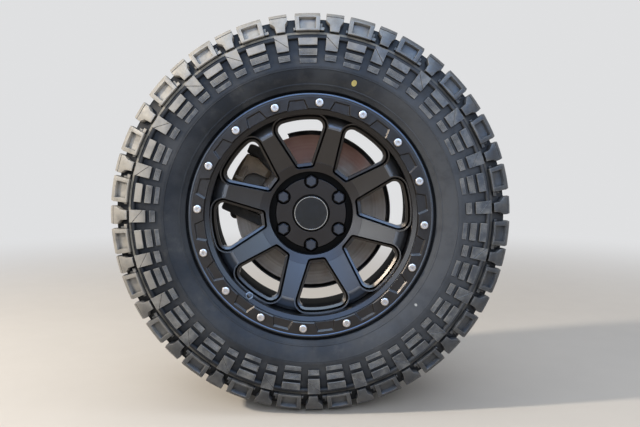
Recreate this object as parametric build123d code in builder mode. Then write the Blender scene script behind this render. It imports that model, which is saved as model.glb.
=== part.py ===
from build123d import *
import os
from math import atan2, cos, radians, sin, sqrt, tan

# Off-road wheel and tyre on its rear wheel end, in millimetres.
# The wheel spins about the Y axis. The street side faces -Y, +Z is up and +X is the right
# of the street view. The origin is the middle of the bearing housing flange's inboard face.
# Angles called clock are degrees clockwise from the top, seen from the street.

# Overall sizes
TYRE_DIAMETER = 833.0
TREAD_WIDTH = 264.0
TREAD_THICKNESS = 17.0
SIDEWALL = 12.0
SIDEWALL_BULGE = 43.7  # past the rim flange on each side
SHOULDER_DROP = 38.5  # from the tyre's outer radius in to where the sidewall starts
CROWN_DROP = 3.5
RIM_DIAMETER = 462.3  # at the bead seats
RIM_WIDTH = 228.6  # between the flanges
WHEEL_OFFSET = 0.0  # centre plane inboard of the mounting face by this much
HOUSING_TO_WHEEL = 94.0  # from the housing flange's inboard face to the wheel's mounting face

# Rim and barrel
FLANGE_HEIGHT = 17.3
OUTER_FLANGE_THICKNESS = 11.7
BACK_FLANGE_THICKNESS = 10.7
BEAD_SEAT_LENGTH = 22.0
BARREL_WALL = 5.5
WELL_DEPTH = 17.3
WELL_START = 50.0  # outboard of the centre plane
WELL_LENGTH = 38.0
LIP_WIDTH = 9.0  # bevel behind the ring, from the ring's inner edge in
LIP_DEPTH = 12.5
MOUTH_UNDERCUT = 3.4  # the wall behind the bevel stands back this much

# Clamp ring
RING_THICKNESS = 12.0
RING_OVERHANG = 2.5  # past the rim flange
RING_FLAT_WIDTH = 28.65  # from the rim flange in to the ring's inner edge
RING_EDGE_RADIUS = 6.0
RING_BOLT_COUNT = 16
RING_BOLT_BELOW_FLANGE = 15.5
RING_BOLT_CLOCK = 4.2
RING_BOLT_SHANK = 8.0
RING_BOLT_HEAD = 17.0
RING_BOLT_HEAD_HEIGHT = 5.5
RING_BOLT_SOCKET = 5.0
RING_BOLT_GRIP = 9.0  # length in the rim flange
POCKET_DEPTH = 3.0  # and the run of its sloped walls
POCKET_OUTER_WIDTH = 28.0
POCKET_INNER_WIDTH = 40.0
POCKET_LENGTH = 17.0
RING_INNER_CHAMFER = 2.0

# Spoked face
SPOKE_COUNT = 8
WINDOW_CLOCK = -7.05
WINDOW_PAST_RECESS = 6.7
WINDOW_INNER_WIDTH = 36.8
WINDOW_HALF_SPREAD = 25.3  # degrees between a window's side and its middle line
WINDOW_FRAME = 2.6  # rim left round a window, at the mouth and beside the valleys
WINDOW_CHAMFER = 1.0
FACE_AT_HUB = 50.0  # face outboard of the mounting face, beside the hub recess
FACE_TILT = 16.1  # degrees that the dished face leans out towards the rim
CREST_INSIDE_MOUTH = 28.5  # where a spoke's top ends and its valley starts
VALLEY_DEPTH = 21.0  # below the face, where a valley meets the mouth wall
SPOKE_THICKNESS = 30.0
HUB_JOINT = 13.5  # past the window's inner end, where the casting is divided into nodes
RIM_JOINT = 14.0  # inside the mouth, where it is divided again

# Hub of the wheel
RECESS_PAST_STUDS = 21.45
RECESS_FLOOR = 36.0  # outboard of the mounting face
PAD_PAST_STUDS = 6.15
PAD_HEIGHT = 42.0
BACK_PAD_PAST_STUDS = 12.15
CAP_BORE_RADIUS = 41.0
SPIGOT_RADIUS = 39.0
SPIGOT_LENGTH = 14.0
STUD_COUNT = 6
STUD_CIRCLE = 139.7
STUD_CLOCK = 0.45
STUD_DIAMETER = 14.0
STUD_HOLE = 16.0
NUT_POCKET = 32.0
NUT_SEAT = 20.0  # pocket floor outboard of the mounting face
NUT_FLATS = 22.0
NUT_LENGTH = 27.0
NUT_CONE_RADIUS = 11.0
NUT_CONE_ANGLE = 60.0
STUD_HEAD = 3.0
CAP_RADIUS = 39.6
CAP_PROUD = 5.0
CAP_BEVEL = 4.5
CAP_TRIM_RADIUS = 36.3
CAP_TRIM_WIDTH = 1.4
CAP_SKIRT = 14.0
VALVE_CLOCK = 218.0
VALVE_TILT = 20.0
VALVE_DIAMETER = 8.2
VALVE_NUT = 15.0
VALVE_NUT_THICKNESS = 5.0
VALVE_SEAT_RADIUS = 9.7  # of the spot face cut in the lip
VALVE_LENGTH_INSIDE = 52.0
VALVE_LENGTH_OUTSIDE = 18.0
VALVE_BELOW_RING = 7.0

# Axle end
HUB_FLANGE_PAST_STUDS = 10.15
HUB_FLANGE_THICKNESS = 12.0
SHAFT_RADIUS = 27.5
BEARING_RADIUS = 45.0
BEARING_LENGTH = 44.0
BEARING_INSET = 4.0
HOUSING_RADIUS = 55.0
HOUSING_FLANGE = 128.0  # square flange across its flats
HOUSING_FLANGE_THICKNESS = 18.0
HOUSING_CORNER = 20.0
EAR_THICKNESS = 10.0
EAR_SETBACK = 4.0  # below the housing flange's face
MOUNT_HOLE = 11.0
MOUNT_CIRCLE = 134.0
PILOT_RADIUS = 46.0
PILOT_LENGTH = 12.0
HUB_TO_HOUSING = 9.0  # running gap behind the hub flange

# Brake
DISC_RADIUS = 172.5
DISC_THICKNESS = 24.0
DISC_PLATE = 8.0
DISC_SETBACK = 38.0  # outboard friction face inboard of the mounting face
HAT_RADIUS = 105.0
HAT_WALL = 8.0
FRICTION_PAST_HAT = 7.0
VANE_COUNT = 30
VANE_THICKNESS = 5.0
SHIELD_GAP = 8.5
SHIELD_SHEET = 2.0
SHIELD_LIP = 34.0
SHIELD_PAST_LEGS = 6.0  # degrees that its cut-out clears the bracket's legs by
CALIPER_CLOCK = -65.0
CALIPER_HALF_LENGTH = 57.0
CALIPER_PAST_DISC = 20.0
CALIPER_NOSE = 10.0  # chamfer along the front of the arch
BRIDGE_THICKNESS = 12.0
FINGER_THICKNESS = 15.0
FINGER_TIP_HALF = 41.0  # half the width across the fingers' tips
FINGER_TAPER = 0.55  # part of the fingers' height over which they widen
FINGER_NOTCH = 52.0  # between the two fingers
PISTON_HOUSING_RADIUS = 31.0
PISTON_HOUSING_LENGTH = 46.0
PISTON_WALL = 7.0
PISTON_END_WALL = 10.0
PAD_PAST_HAT = 11.0
PAD_INSIDE_DISC = 3.5
PAD_HALF_LENGTH = 58.5
PAD_LINING = 11.0
PAD_PLATE = 6.0
PAD_GAP = 0.7
BRACKET_LEG = 22.0
BRACKET_PAST_DISC = 15.5
BRACKET_BEAM = 19.0
BRACKET_BOLT_APART = 104.0
BRACKET_BOLT = 12.0
DISC_CLEARANCE = 5.5
GUIDE_RADIUS = 5.0
GUIDE_INSIDE_DISC = 16.5
GUIDE_PAST_LEG = 2.0  # from a bracket leg's outer side to the pin's axis
GUIDE_BOSS = 13.0
GUIDE_EAR = 9.0
HOSE_PORT = 9.0  # core hole of the hose fitting
HOSE_PORT_ASIDE = 14.0

# Clearances
SLIP = 0.3
SHAFT_FIT = 0.05

# Places along the axle and radii worked out from the sizes above
mount_y = -HOUSING_TO_WHEEL
centre_y = mount_y + WHEEL_OFFSET
bead_r = RIM_DIAMETER / 2
flange_r = bead_r + FLANGE_HEIGHT
ring_r = flange_r + RING_OVERHANG
ring_inner_r = flange_r - RING_FLAT_WIDTH
bolt_r = flange_r - RING_BOLT_BELOW_FLANGE
barrel_r = bead_r - BARREL_WALL  # tyre side, between the bead seats
well_r = bead_r - WELL_DEPTH
well_inside_r = well_r - BARREL_WALL
seat_half = RIM_WIDTH / 2
ring_back_y = centre_y - seat_half - OUTER_FLANGE_THICKNESS
ring_front_y = ring_back_y - RING_THICKNESS
lip_r = ring_inner_r - LIP_WIDTH
lip_y = ring_back_y + LIP_DEPTH
mouth_r = lip_r + MOUTH_UNDERCUT
crest_r = mouth_r - CREST_INSIDE_MOUTH
stud_r = STUD_CIRCLE / 2
pad_r = stud_r + PAD_PAST_STUDS
recess_r = stud_r + RECESS_PAST_STUDS
back_pad_r = stud_r + BACK_PAD_PAST_STUDS
window_r = recess_r + WINDOW_PAST_RECESS
hub_joint_r = window_r + HUB_JOINT
rim_joint_r = mouth_r - RIM_JOINT
face_slope = tan(radians(FACE_TILT))
face_apex = FACE_AT_HUB - recess_r * face_slope  # where the dished face's cone would meet the axle
hub_flange_r = stud_r + HUB_FLANGE_PAST_STUDS
nut_seat_y = mount_y - NUT_SEAT
pad_y = mount_y - PAD_HEIGHT
disc_front_y = mount_y + DISC_SETBACK
disc_back_y = disc_front_y + DISC_THICKNESS
hub_flange_y = mount_y + HAT_WALL
hub_back_y = hub_flange_y + HUB_FLANGE_THICKNESS
housing_front_y = hub_back_y + HUB_TO_HOUSING
housing_flange_y = -HOUSING_FLANGE_THICKNESS
finger_y = disc_front_y - PAD_GAP - PAD_LINING - PAD_PLATE - SLIP
piston_y = disc_back_y + PAD_GAP + PAD_LINING + PAD_PLATE + SLIP
piston_back_y = piston_y + PISTON_HOUSING_LENGTH
beam_front_y = disc_back_y + DISC_CLEARANCE
ear_back_y = -EAR_SETBACK
ear_front_y = ear_back_y - EAR_THICKNESS
disc_inner_r = HAT_RADIUS + FRICTION_PAST_HAT
pad_bottom = HAT_RADIUS + PAD_PAST_HAT
pad_top = DISC_RADIUS - PAD_INSIDE_DISC
piston_height = (pad_bottom + pad_top) / 2
finger_bottom = pad_bottom + 2
caliper_top = DISC_RADIUS + CALIPER_PAST_DISC
beam_top = piston_height - PISTON_HOUSING_RADIUS - 2.5
beam_bottom = beam_top - BRACKET_BEAM
bracket_bolt_height = (beam_top + beam_bottom) / 2
guide_height = DISC_RADIUS - GUIDE_INSIDE_DISC
leg_x = PAD_HALF_LENGTH + SLIP + BRACKET_LEG / 2
guide_x = leg_x + BRACKET_LEG / 2 + GUIDE_PAST_LEG
bracket_top = DISC_RADIUS + BRACKET_PAST_DISC


def axle_plane(y):
    """Plane square to the axle at y, looking towards the street, its own y up."""
    return Plane.XZ.offset(-y)


def clock(angle):
    """Sketch angle on an axle plane for a clock angle."""
    return 90 - angle


caliper_along = (cos(radians(CALIPER_CLOCK)), 0, -sin(radians(CALIPER_CLOCK)))


def caliper_plane(y):
    """Plane square to the axle at y, its own y along the caliper's middle line."""
    return Plane(origin=(0, 0, 0), x_dir=caliper_along, z_dir=(0, -1, 0)).offset(-y)


def bracket_bolt_places():
    """The two bracket bolts, on a caliper plane."""
    half = BRACKET_BOLT_APART / 2
    return Locations((-half, bracket_bolt_height), (half, bracket_bolt_height))


def guide_places():
    """The two guide pins, on a caliper plane."""
    return Locations((-guide_x, guide_height), (guide_x, guide_height))


# Plane through the axle and the caliper's middle: x along the axle, y outwards.
caliper_side = Plane(origin=(0, 0, 0), x_dir=(0, 1, 0), z_dir=caliper_along)


def ring_section(*corners):
    """Closed outline of (radius, y) corners, to be turned about the axle."""
    with BuildSketch(Plane.XY) as section:
        with BuildLine():
            Polyline(*corners, close=True)
        make_face()
    return section.sketch


def around(radius, count, clock_angle):
    """Places for like features round the axle, the first at a clock angle."""
    return PolarLocations(radius, count, start_angle=clock(clock_angle))


def save(builder, label):
    """Names the finished piece and writes it."""
    builder.part.label = label
    export_step(builder.part, "parts/" + label + ".step")


os.makedirs("parts", exist_ok=True)

# Tyre: hollow carcass, its beads against the rim flanges
tyre_r = TYRE_DIAMETER / 2
half_width = seat_half + SIDEWALL_BULGE
half_tread = TREAD_WIDTH / 2
heel = seat_half - SLIP
bead_in_r = bead_r + SLIP
guard_r = ring_r + 7.0
shoulder_r = tyre_r - SHOULDER_DROP
side_r = (guard_r + shoulder_r) / 2
crown_r = tyre_r - CROWN_DROP
with BuildPart() as tyre:
    with BuildSketch(Plane.XY):
        for side in (-1, 1):
            with BuildLine():
                toe = (bead_in_r, centre_y + side * (heel - BEAD_SEAT_LENGTH))
                guard = (guard_r, centre_y + side * (half_width - 22))
                widest = (side_r, centre_y + side * half_width)
                shoulder = (shoulder_r, centre_y + side * (half_width - 8))
                edge = (crown_r, centre_y + side * (half_tread - 10))
                inner_guard = (guard_r + 6, centre_y + side * (half_width - 41))
                inner_widest = (side_r, centre_y + side * (half_width - SIDEWALL))
                inner_shoulder = (shoulder_r - 2, centre_y + side * (half_width - SIDEWALL - 9))
                inner_edge = (crown_r - TREAD_THICKNESS, centre_y + side * (half_tread - 14))
                Polyline(
                    toe,
                    (bead_in_r, centre_y + side * heel),
                    (flange_r + SLIP, centre_y + side * heel),
                    (ring_r + 1.5, centre_y + side * (heel + 4)),
                    (ring_r + 2.5, centre_y + side * (heel + 14)),
                    guard,
                )
                TangentArc(widest, guard, tangent=(-1, 0))
                TangentArc(widest, shoulder, tangent=(1, 0))
                Polyline(shoulder, (tyre_r - 12, centre_y + side * (half_tread + 5)), edge)
                TangentArc((tyre_r, centre_y), edge, tangent=(0, side))
                Line((tyre_r, centre_y), (tyre_r - TREAD_THICKNESS, centre_y))
                Line((tyre_r - TREAD_THICKNESS, centre_y), inner_edge)
                Line(inner_edge, inner_shoulder)
                TangentArc(inner_widest, inner_shoulder, tangent=(1, 0))
                TangentArc(inner_widest, inner_guard, tangent=(-1, 0))
                Polyline(
                    inner_guard,
                    (bead_in_r + 12, centre_y + side * (heel - BEAD_SEAT_LENGTH + 2)),
                    toe,
                )
            make_face()
    revolve(axis=Axis.Y)
save(tyre, "tyre")

# Spoke windows. Each is drawn at four depths on planes that lean with the dished face, in a frame
# whose x runs out from the axle and whose z runs to the street from the mounting face.
window_levels = (
    # depth below the face, inset at the inner end, inset elsewhere, inner and outer corner radius
    (0.0, 0.0, 0.0, 9.0, 24.0),
    (WINDOW_CHAMFER, WINDOW_CHAMFER, WINDOW_CHAMFER, 8.5, 23.0),
    (7.0, 5.0, 3.8, 6.0, 20.5),
    (10.0, 11.8, 8.8, 3.5, 15.5),
)
through = SPOKE_THICKNESS + 20


def window_loop(depth, inner_inset, inset, inner_corner, outer_corner):
    """One window's outline at a depth below the dished face."""
    lean = radians(FACE_TILT)
    spread = tan(radians(WINDOW_HALF_SPREAD))
    low = window_r + inner_inset
    rim = mouth_r - WINDOW_FRAME - inset
    base = WINDOW_INNER_WIDTH / 2 - window_r * spread - inset / cos(radians(WINDOW_HALF_SPREAD))
    square = 1 + spread**2
    high = (sqrt((base * spread) ** 2 - square * (base**2 - rim**2)) - base * spread) / square
    low_half = base + low * spread
    high_half = base + high * spread
    leaning = Plane(
        origin=(0, 0, face_apex - depth),
        x_dir=(cos(lean), 0, sin(lean)),
        z_dir=(-sin(lean), 0, cos(lean)),
    )
    with BuildSketch(leaning) as loop:
        with BuildLine():
            Polyline(
                (high / cos(lean), -high_half),
                (low / cos(lean), -low_half),
                (low / cos(lean), low_half),
                (high / cos(lean), high_half),
            )
            ThreePointArc(
                (high / cos(lean), high_half),
                (rim / cos(lean), 0),
                (high / cos(lean), -high_half),
            )
        make_face()
        fillet(loop.vertices().group_by(Axis.X)[0], inner_corner)
        fillet(loop.vertices().group_by(Axis.X)[-1], outer_corner)
    return loop.sketch


window_loops = [window_loop(*level) for level in window_levels]
with BuildPart() as window_cutter:
    extrude(window_loops[0], amount=SPOKE_THICKNESS)
    for upper, lower in zip(window_loops, window_loops[1:]):
        loft([upper.face(), lower.face()], ruled=True)
    extrude(window_loops[-1], amount=through, dir=(0, 0, -1))

# Valleys: between the windows' frames the face drops from each spoke's crest to the mouth wall
frame_loop = window_loop(0, -WINDOW_FRAME, -WINDOW_FRAME, 9.0, 24.0 + WINDOW_FRAME)


def dished_y(radius):
    """The dished face at a radius."""
    return mount_y - face_apex - radius * face_slope


with BuildPart() as valley_cutter:
    valley_section = ring_section(
        (crest_r, dished_y(crest_r)),
        (mouth_r, dished_y(mouth_r) + VALLEY_DEPTH),
        (mouth_r, dished_y(mouth_r) - SPOKE_THICKNESS),
        (crest_r, dished_y(mouth_r) - SPOKE_THICKNESS),
    )
    revolve(valley_section, axis=Axis.Y)
    with BuildPart(mode=Mode.PRIVATE) as frame_block:
        extrude(frame_loop, amount=through)
        extrude(frame_loop, amount=-through)
    with Locations(axle_plane(mount_y)):
        with around(0, SPOKE_COUNT, WINDOW_CLOCK):
            add(frame_block.part, mode=Mode.SUBTRACT)

# Wheel casting: barrel with its two flanges and well, lip, spoked face and hub
well_y = centre_y - WELL_START
well_end_y = well_y + WELL_LENGTH
barrel_section = ring_section(
    (ring_inner_r, ring_back_y),
    (flange_r, ring_back_y),
    (flange_r, centre_y - seat_half),
    (bead_r, centre_y - seat_half),
    (bead_r - 1.5, centre_y - seat_half + BEAD_SEAT_LENGTH),
    (barrel_r, centre_y - seat_half + BEAD_SEAT_LENGTH + 3),
    (well_r, well_y),
    (well_r, well_end_y),
    (barrel_r, well_end_y + 16),
    (barrel_r, centre_y + seat_half - BEAD_SEAT_LENGTH - 3),
    (bead_r - 1.5, centre_y + seat_half - BEAD_SEAT_LENGTH),
    (bead_r, centre_y + seat_half),
    (flange_r, centre_y + seat_half),
    (flange_r, centre_y + seat_half + BACK_FLANGE_THICKNESS),
    (flange_r - 8, centre_y + seat_half + BACK_FLANGE_THICKNESS),
    (bead_r - 9, centre_y + seat_half - 2),
    (barrel_r - BARREL_WALL, centre_y + seat_half - BEAD_SEAT_LENGTH),
    (barrel_r - BARREL_WALL, well_end_y + 18),
    (well_inside_r, well_end_y + 2),
    (well_inside_r, dished_y(mouth_r) + 8),
    (mouth_r, dished_y(mouth_r) + 8),
    (mouth_r, lip_y + 1),
    (lip_r, lip_y),
)
face_section = ring_section(
    (SPIGOT_RADIUS, mount_y),
    (SPIGOT_RADIUS, mount_y - SPIGOT_LENGTH),
    (CAP_BORE_RADIUS, mount_y - SPIGOT_LENGTH),
    (CAP_BORE_RADIUS, pad_y),
    (pad_r, pad_y),
    (pad_r + 2, mount_y - RECESS_FLOOR),
    (recess_r, mount_y - RECESS_FLOOR),
    (recess_r, dished_y(recess_r)),
    (mouth_r + 1, dished_y(mouth_r + 1)),
    (mouth_r + 1, dished_y(mouth_r + 1) + SPOKE_THICKNESS),
    (back_pad_r + 16, dished_y(recess_r) + SPOKE_THICKNESS),
    (back_pad_r, mount_y - 6),
    (back_pad_r, mount_y),
)
valve_r = ring_inner_r - VALVE_BELOW_RING
valve_place = Vector(sin(radians(VALVE_CLOCK)), 0, cos(radians(VALVE_CLOCK))) * valve_r
valve_place.Y = ring_back_y + VALVE_BELOW_RING * LIP_DEPTH / LIP_WIDTH
valve_axis = Vector(0, -1, 0) * cos(radians(VALVE_TILT))
valve_axis -= Vector(valve_place.X, 0, valve_place.Z).normalized() * sin(radians(VALVE_TILT))
valve_plane = Plane(origin=valve_place, z_dir=valve_axis)
with BuildPart() as wheel_casting:
    revolve(barrel_section, axis=Axis.Y)
    revolve(face_section, axis=Axis.Y)
    add(valley_cutter.part, mode=Mode.SUBTRACT)
    with Locations(axle_plane(mount_y)):
        with around(0, SPOKE_COUNT, WINDOW_CLOCK):
            add(window_cutter.part, mode=Mode.SUBTRACT)
    with BuildSketch(axle_plane(nut_seat_y)):
        with around(stud_r, STUD_COUNT, STUD_CLOCK):
            Circle(NUT_POCKET / 2)
    extrude(amount=PAD_HEIGHT, mode=Mode.SUBTRACT)
    with Locations(axle_plane(nut_seat_y)):
        with around(stud_r, STUD_COUNT, STUD_CLOCK):
            CounterSinkHole(STUD_HOLE / 2, NUT_CONE_RADIUS, NUT_SEAT + 1, NUT_CONE_ANGLE)
    with Locations(axle_plane(ring_back_y)):
        with around(bolt_r, RING_BOLT_COUNT, RING_BOLT_CLOCK):
            Hole(RING_BOLT_SHANK / 2 + SLIP / 2, RING_BOLT_GRIP + 1)
    with BuildSketch(valve_plane):
        Circle(VALVE_SEAT_RADIUS)
    extrude(amount=LIP_DEPTH, mode=Mode.SUBTRACT)
    with Locations(valve_plane):
        Hole(VALVE_DIAMETER / 2 + SLIP, 2 * WELL_START)

# The casting is saved as three nodes that meet on two cylinders about the axle
across = 4 * RIM_WIDTH
turned = (90, 0, 0)
with BuildPart() as wheel_hub:
    add(wheel_casting.part)
    Cylinder(hub_joint_r, across, rotation=turned, mode=Mode.INTERSECT)
save(wheel_hub, "wheel_hub")

with BuildPart() as wheel_spokes:
    add(wheel_casting.part)
    Cylinder(rim_joint_r, across, rotation=turned, mode=Mode.INTERSECT)
    Cylinder(hub_joint_r, across, rotation=turned, mode=Mode.SUBTRACT)
save(wheel_spokes, "wheel_spokes")

with BuildPart() as wheel_barrel:
    add(wheel_casting.part)
    Cylinder(rim_joint_r, across, rotation=turned, mode=Mode.SUBTRACT)
save(wheel_barrel, "wheel_barrel")

# Clamp ring: bolted to the outer flange, with a shallow pocket between bolts
with BuildPart() as pocket_cutter:
    with BuildSketch(Plane.XY):
        with BuildLine():
            Polyline(
                (ring_inner_r - POCKET_DEPTH, -POCKET_INNER_WIDTH / 2),
                (ring_inner_r - POCKET_DEPTH, POCKET_INNER_WIDTH / 2),
                (ring_inner_r + POCKET_LENGTH, POCKET_OUTER_WIDTH / 2),
                (ring_inner_r + POCKET_LENGTH, -POCKET_OUTER_WIDTH / 2),
                close=True,
            )
        make_face()
    extrude(amount=POCKET_DEPTH + 1, taper=-45)
with BuildPart() as clamp_ring:
    with BuildSketch(Plane.XY) as clamp_section:
        with BuildLine():
            Polyline(
                (ring_inner_r, ring_back_y),
                (ring_inner_r, ring_front_y),
                (ring_r, ring_front_y),
                (ring_r, ring_back_y),
                close=True,
            )
        make_face()
        front_corners = clamp_section.vertices().sort_by(Axis.Y)[:2].sort_by(Axis.X)
        chamfer(front_corners[0], RING_INNER_CHAMFER)
        fillet(clamp_section.vertices().sort_by(Axis.Y)[:3].sort_by(Axis.X)[-1], RING_EDGE_RADIUS)
    revolve(axis=Axis.Y)
    with Locations(axle_plane(ring_front_y + POCKET_DEPTH)):
        with around(0, RING_BOLT_COUNT, RING_BOLT_CLOCK + 180 / RING_BOLT_COUNT):
            add(pocket_cutter.part, mode=Mode.SUBTRACT)
    with Locations(axle_plane(ring_front_y)):
        with around(bolt_r, RING_BOLT_COUNT, RING_BOLT_CLOCK):
            Hole(RING_BOLT_SHANK / 2 + SLIP)
    with BuildSketch(valve_plane):
        Circle(VALVE_SEAT_RADIUS)
    extrude(amount=RING_THICKNESS, both=True, mode=Mode.SUBTRACT)
save(clamp_ring, "clamp_ring")

with BuildPart() as ring_bolts:
    with BuildSketch(axle_plane(ring_front_y)):
        with around(bolt_r, RING_BOLT_COUNT, RING_BOLT_CLOCK):
            Circle(RING_BOLT_HEAD / 2)
    extrude(amount=RING_BOLT_HEAD_HEIGHT)
    head_edges = ring_bolts.edges().filter_by(GeomType.CIRCLE).group_by(Axis.Y)[0]
    fillet(head_edges, RING_BOLT_HEAD_HEIGHT / 2)
    with BuildSketch(axle_plane(ring_front_y)):
        with around(bolt_r, RING_BOLT_COUNT, RING_BOLT_CLOCK):
            Circle(RING_BOLT_SHANK / 2)
    extrude(amount=-RING_THICKNESS - RING_BOLT_GRIP)
    with BuildSketch(axle_plane(ring_front_y - RING_BOLT_HEAD_HEIGHT)):
        with around(bolt_r, RING_BOLT_COUNT, RING_BOLT_CLOCK):
            RegularPolygon(RING_BOLT_SOCKET / 2, 6, major_radius=False)
    extrude(amount=-RING_BOLT_HEAD_HEIGHT * 0.6, mode=Mode.SUBTRACT)
save(ring_bolts, "ring_bolts")

# Valve stem: through the face into the air space, with its nut on the bevel
with BuildPart() as valve_stem:
    with BuildSketch(valve_plane.offset(-VALVE_LENGTH_INSIDE)):
        Circle(VALVE_DIAMETER / 2)
    extrude(amount=VALVE_LENGTH_INSIDE + VALVE_LENGTH_OUTSIDE)
    with BuildSketch(valve_plane):
        RegularPolygon(VALVE_NUT / 2, 6, major_radius=False)
    extrude(amount=VALVE_NUT_THICKNESS)
    with BuildSketch(valve_plane.offset(VALVE_LENGTH_OUTSIDE)):
        Circle(VALVE_DIAMETER / 4)
    extrude(amount=-VALVE_NUT_THICKNESS, mode=Mode.SUBTRACT)
save(valve_stem, "valve_stem")

# Lug nuts: cone seat, hexagon and a domed closed end over the stud
nut_top_y = nut_seat_y - NUT_LENGTH
nut_cone_low_r = STUD_DIAMETER / 2 + 1.8
nut_cone_length = (NUT_CONE_RADIUS - SLIP - nut_cone_low_r) / tan(radians(NUT_CONE_ANGLE / 2))
with BuildPart() as lug_nuts:
    with BuildSketch(axle_plane(nut_seat_y - SLIP)):
        with around(stud_r, STUD_COUNT, STUD_CLOCK):
            RegularPolygon(NUT_FLATS / 2, 6, major_radius=False)
    extrude(amount=NUT_LENGTH - SLIP)
    chamfer(lug_nuts.edges().group_by(Axis.Y)[0], 1.8)
    with Locations(axle_plane(nut_seat_y - SLIP)):
        with around(stud_r, STUD_COUNT, STUD_CLOCK):
            Cone(
                nut_cone_low_r,
                NUT_CONE_RADIUS - SLIP,
                nut_cone_length,
                align=(Align.CENTER, Align.CENTER, Align.MAX),
            )
    with Locations(axle_plane(nut_seat_y + nut_cone_length)):
        with around(stud_r, STUD_COUNT, STUD_CLOCK):
            Hole(STUD_DIAMETER / 2 + SLIP / 2, nut_cone_length + NUT_LENGTH - 5)
save(lug_nuts, "lug_nuts")

with BuildPart() as wheel_studs:
    with BuildSketch(axle_plane(hub_back_y)):
        with around(stud_r, STUD_COUNT, STUD_CLOCK):
            Circle(STUD_DIAMETER / 2)
    extrude(amount=hub_back_y - nut_top_y - 7)
    with BuildSketch(axle_plane(hub_back_y)):
        with around(stud_r, STUD_COUNT, STUD_CLOCK):
            Circle(STUD_DIAMETER / 2 + 3.5)
    extrude(amount=-STUD_HEAD)
save(wheel_studs, "wheel_studs")

# Centre cap: a shallow cup clipped into the cap bore, with a thin bright trim ring
cap_front_y = pad_y - CAP_PROUD
with BuildPart() as centre_cap:
    cap_section = ring_section(
        (0, cap_front_y),
        (CAP_TRIM_RADIUS - CAP_TRIM_WIDTH, cap_front_y),
        (CAP_TRIM_RADIUS - CAP_TRIM_WIDTH, cap_front_y + 1.5),
        (CAP_TRIM_RADIUS, cap_front_y + 1.5),
        (CAP_TRIM_RADIUS, cap_front_y),
        (CAP_RADIUS, cap_front_y + CAP_BEVEL),
        (CAP_RADIUS, pad_y + CAP_SKIRT / 2),
        (CAP_BORE_RADIUS - SLIP, pad_y + CAP_SKIRT / 2 + 1),
        (CAP_BORE_RADIUS - SLIP, pad_y + CAP_SKIRT - 2),
        (CAP_RADIUS, pad_y + CAP_SKIRT),
        (CAP_RADIUS - 3, pad_y + CAP_SKIRT),
        (CAP_RADIUS - 3, cap_front_y + 4.5),
        (0, cap_front_y + 4.5),
    )
    revolve(cap_section, axis=Axis.Y)
save(centre_cap, "centre_cap")

with BuildPart() as cap_trim_ring:
    trim_section = ring_section(
        (CAP_TRIM_RADIUS - CAP_TRIM_WIDTH, cap_front_y - 0.8),
        (CAP_TRIM_RADIUS, cap_front_y - 0.8),
        (CAP_TRIM_RADIUS, cap_front_y + 1.5),
        (CAP_TRIM_RADIUS - CAP_TRIM_WIDTH, cap_front_y + 1.5),
    )
    revolve(trim_section, axis=Axis.Y)
save(cap_trim_ring, "cap_trim_ring")

# Axle end: hub flange with its spigot and shaft in one forging
shaft_end_y = PILOT_LENGTH
with BuildPart() as hub_flange:
    hub_section = ring_section(
        (0, mount_y - SPIGOT_LENGTH + 6),
        (SHAFT_RADIUS - 5, mount_y - SPIGOT_LENGTH + 6),
        (SHAFT_RADIUS, mount_y - SPIGOT_LENGTH + 1),
        (SPIGOT_RADIUS - SLIP - 1, mount_y - SPIGOT_LENGTH + 1),
        (SPIGOT_RADIUS - SLIP, mount_y - SPIGOT_LENGTH + 2),
        (SPIGOT_RADIUS - SLIP, hub_flange_y),
        (hub_flange_r, hub_flange_y),
        (hub_flange_r, hub_back_y),
        (SHAFT_RADIUS + 12, hub_back_y),
        (SHAFT_RADIUS + 7, hub_back_y + HUB_TO_HOUSING - 5),
        (SHAFT_RADIUS, hub_back_y + HUB_TO_HOUSING - 5),
        (SHAFT_RADIUS, shaft_end_y - 2),
        (SHAFT_RADIUS - 2, shaft_end_y),
        (0, shaft_end_y),
    )
    revolve(hub_section, axis=Axis.Y)
    with Locations(axle_plane(hub_flange_y)):
        with around(stud_r, STUD_COUNT, STUD_CLOCK):
            Hole(STUD_DIAMETER / 2 + SLIP / 2, HUB_FLANGE_THICKNESS)
save(hub_flange, "hub_flange")

# Brake disc: hat clamped between wheel and hub, two friction plates joined by vanes
disc_mid_y = disc_front_y + DISC_THICKNESS / 2
vent_half = DISC_THICKNESS / 2 - DISC_PLATE
with BuildPart() as brake_disc:
    disc_section = ring_section(
        (SPIGOT_RADIUS, mount_y),
        (HAT_RADIUS - 2, mount_y),
        (HAT_RADIUS, mount_y + 2),
        (HAT_RADIUS, disc_front_y),
        (DISC_RADIUS, disc_front_y),
        (DISC_RADIUS, disc_mid_y - vent_half),
        (disc_inner_r, disc_mid_y - vent_half),
        (disc_inner_r, disc_mid_y + vent_half),
        (DISC_RADIUS, disc_mid_y + vent_half),
        (DISC_RADIUS, disc_back_y),
        (disc_inner_r, disc_back_y),
        (HAT_RADIUS - HAT_WALL, disc_mid_y),
        (HAT_RADIUS - HAT_WALL, hub_flange_y),
        (SPIGOT_RADIUS, hub_flange_y),
    )
    revolve(disc_section, axis=Axis.Y)
    with BuildSketch(axle_plane(disc_mid_y)):
        with around((DISC_RADIUS + disc_inner_r) / 2, VANE_COUNT, 0):
            Rectangle(DISC_RADIUS - disc_inner_r - 2, VANE_THICKNESS)
    extrude(amount=vent_half, both=True)
    with Locations(axle_plane(mount_y)):
        with around(stud_r, STUD_COUNT, STUD_CLOCK):
            Hole(STUD_HOLE / 2, HAT_WALL)
save(brake_disc, "brake_disc")

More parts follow.
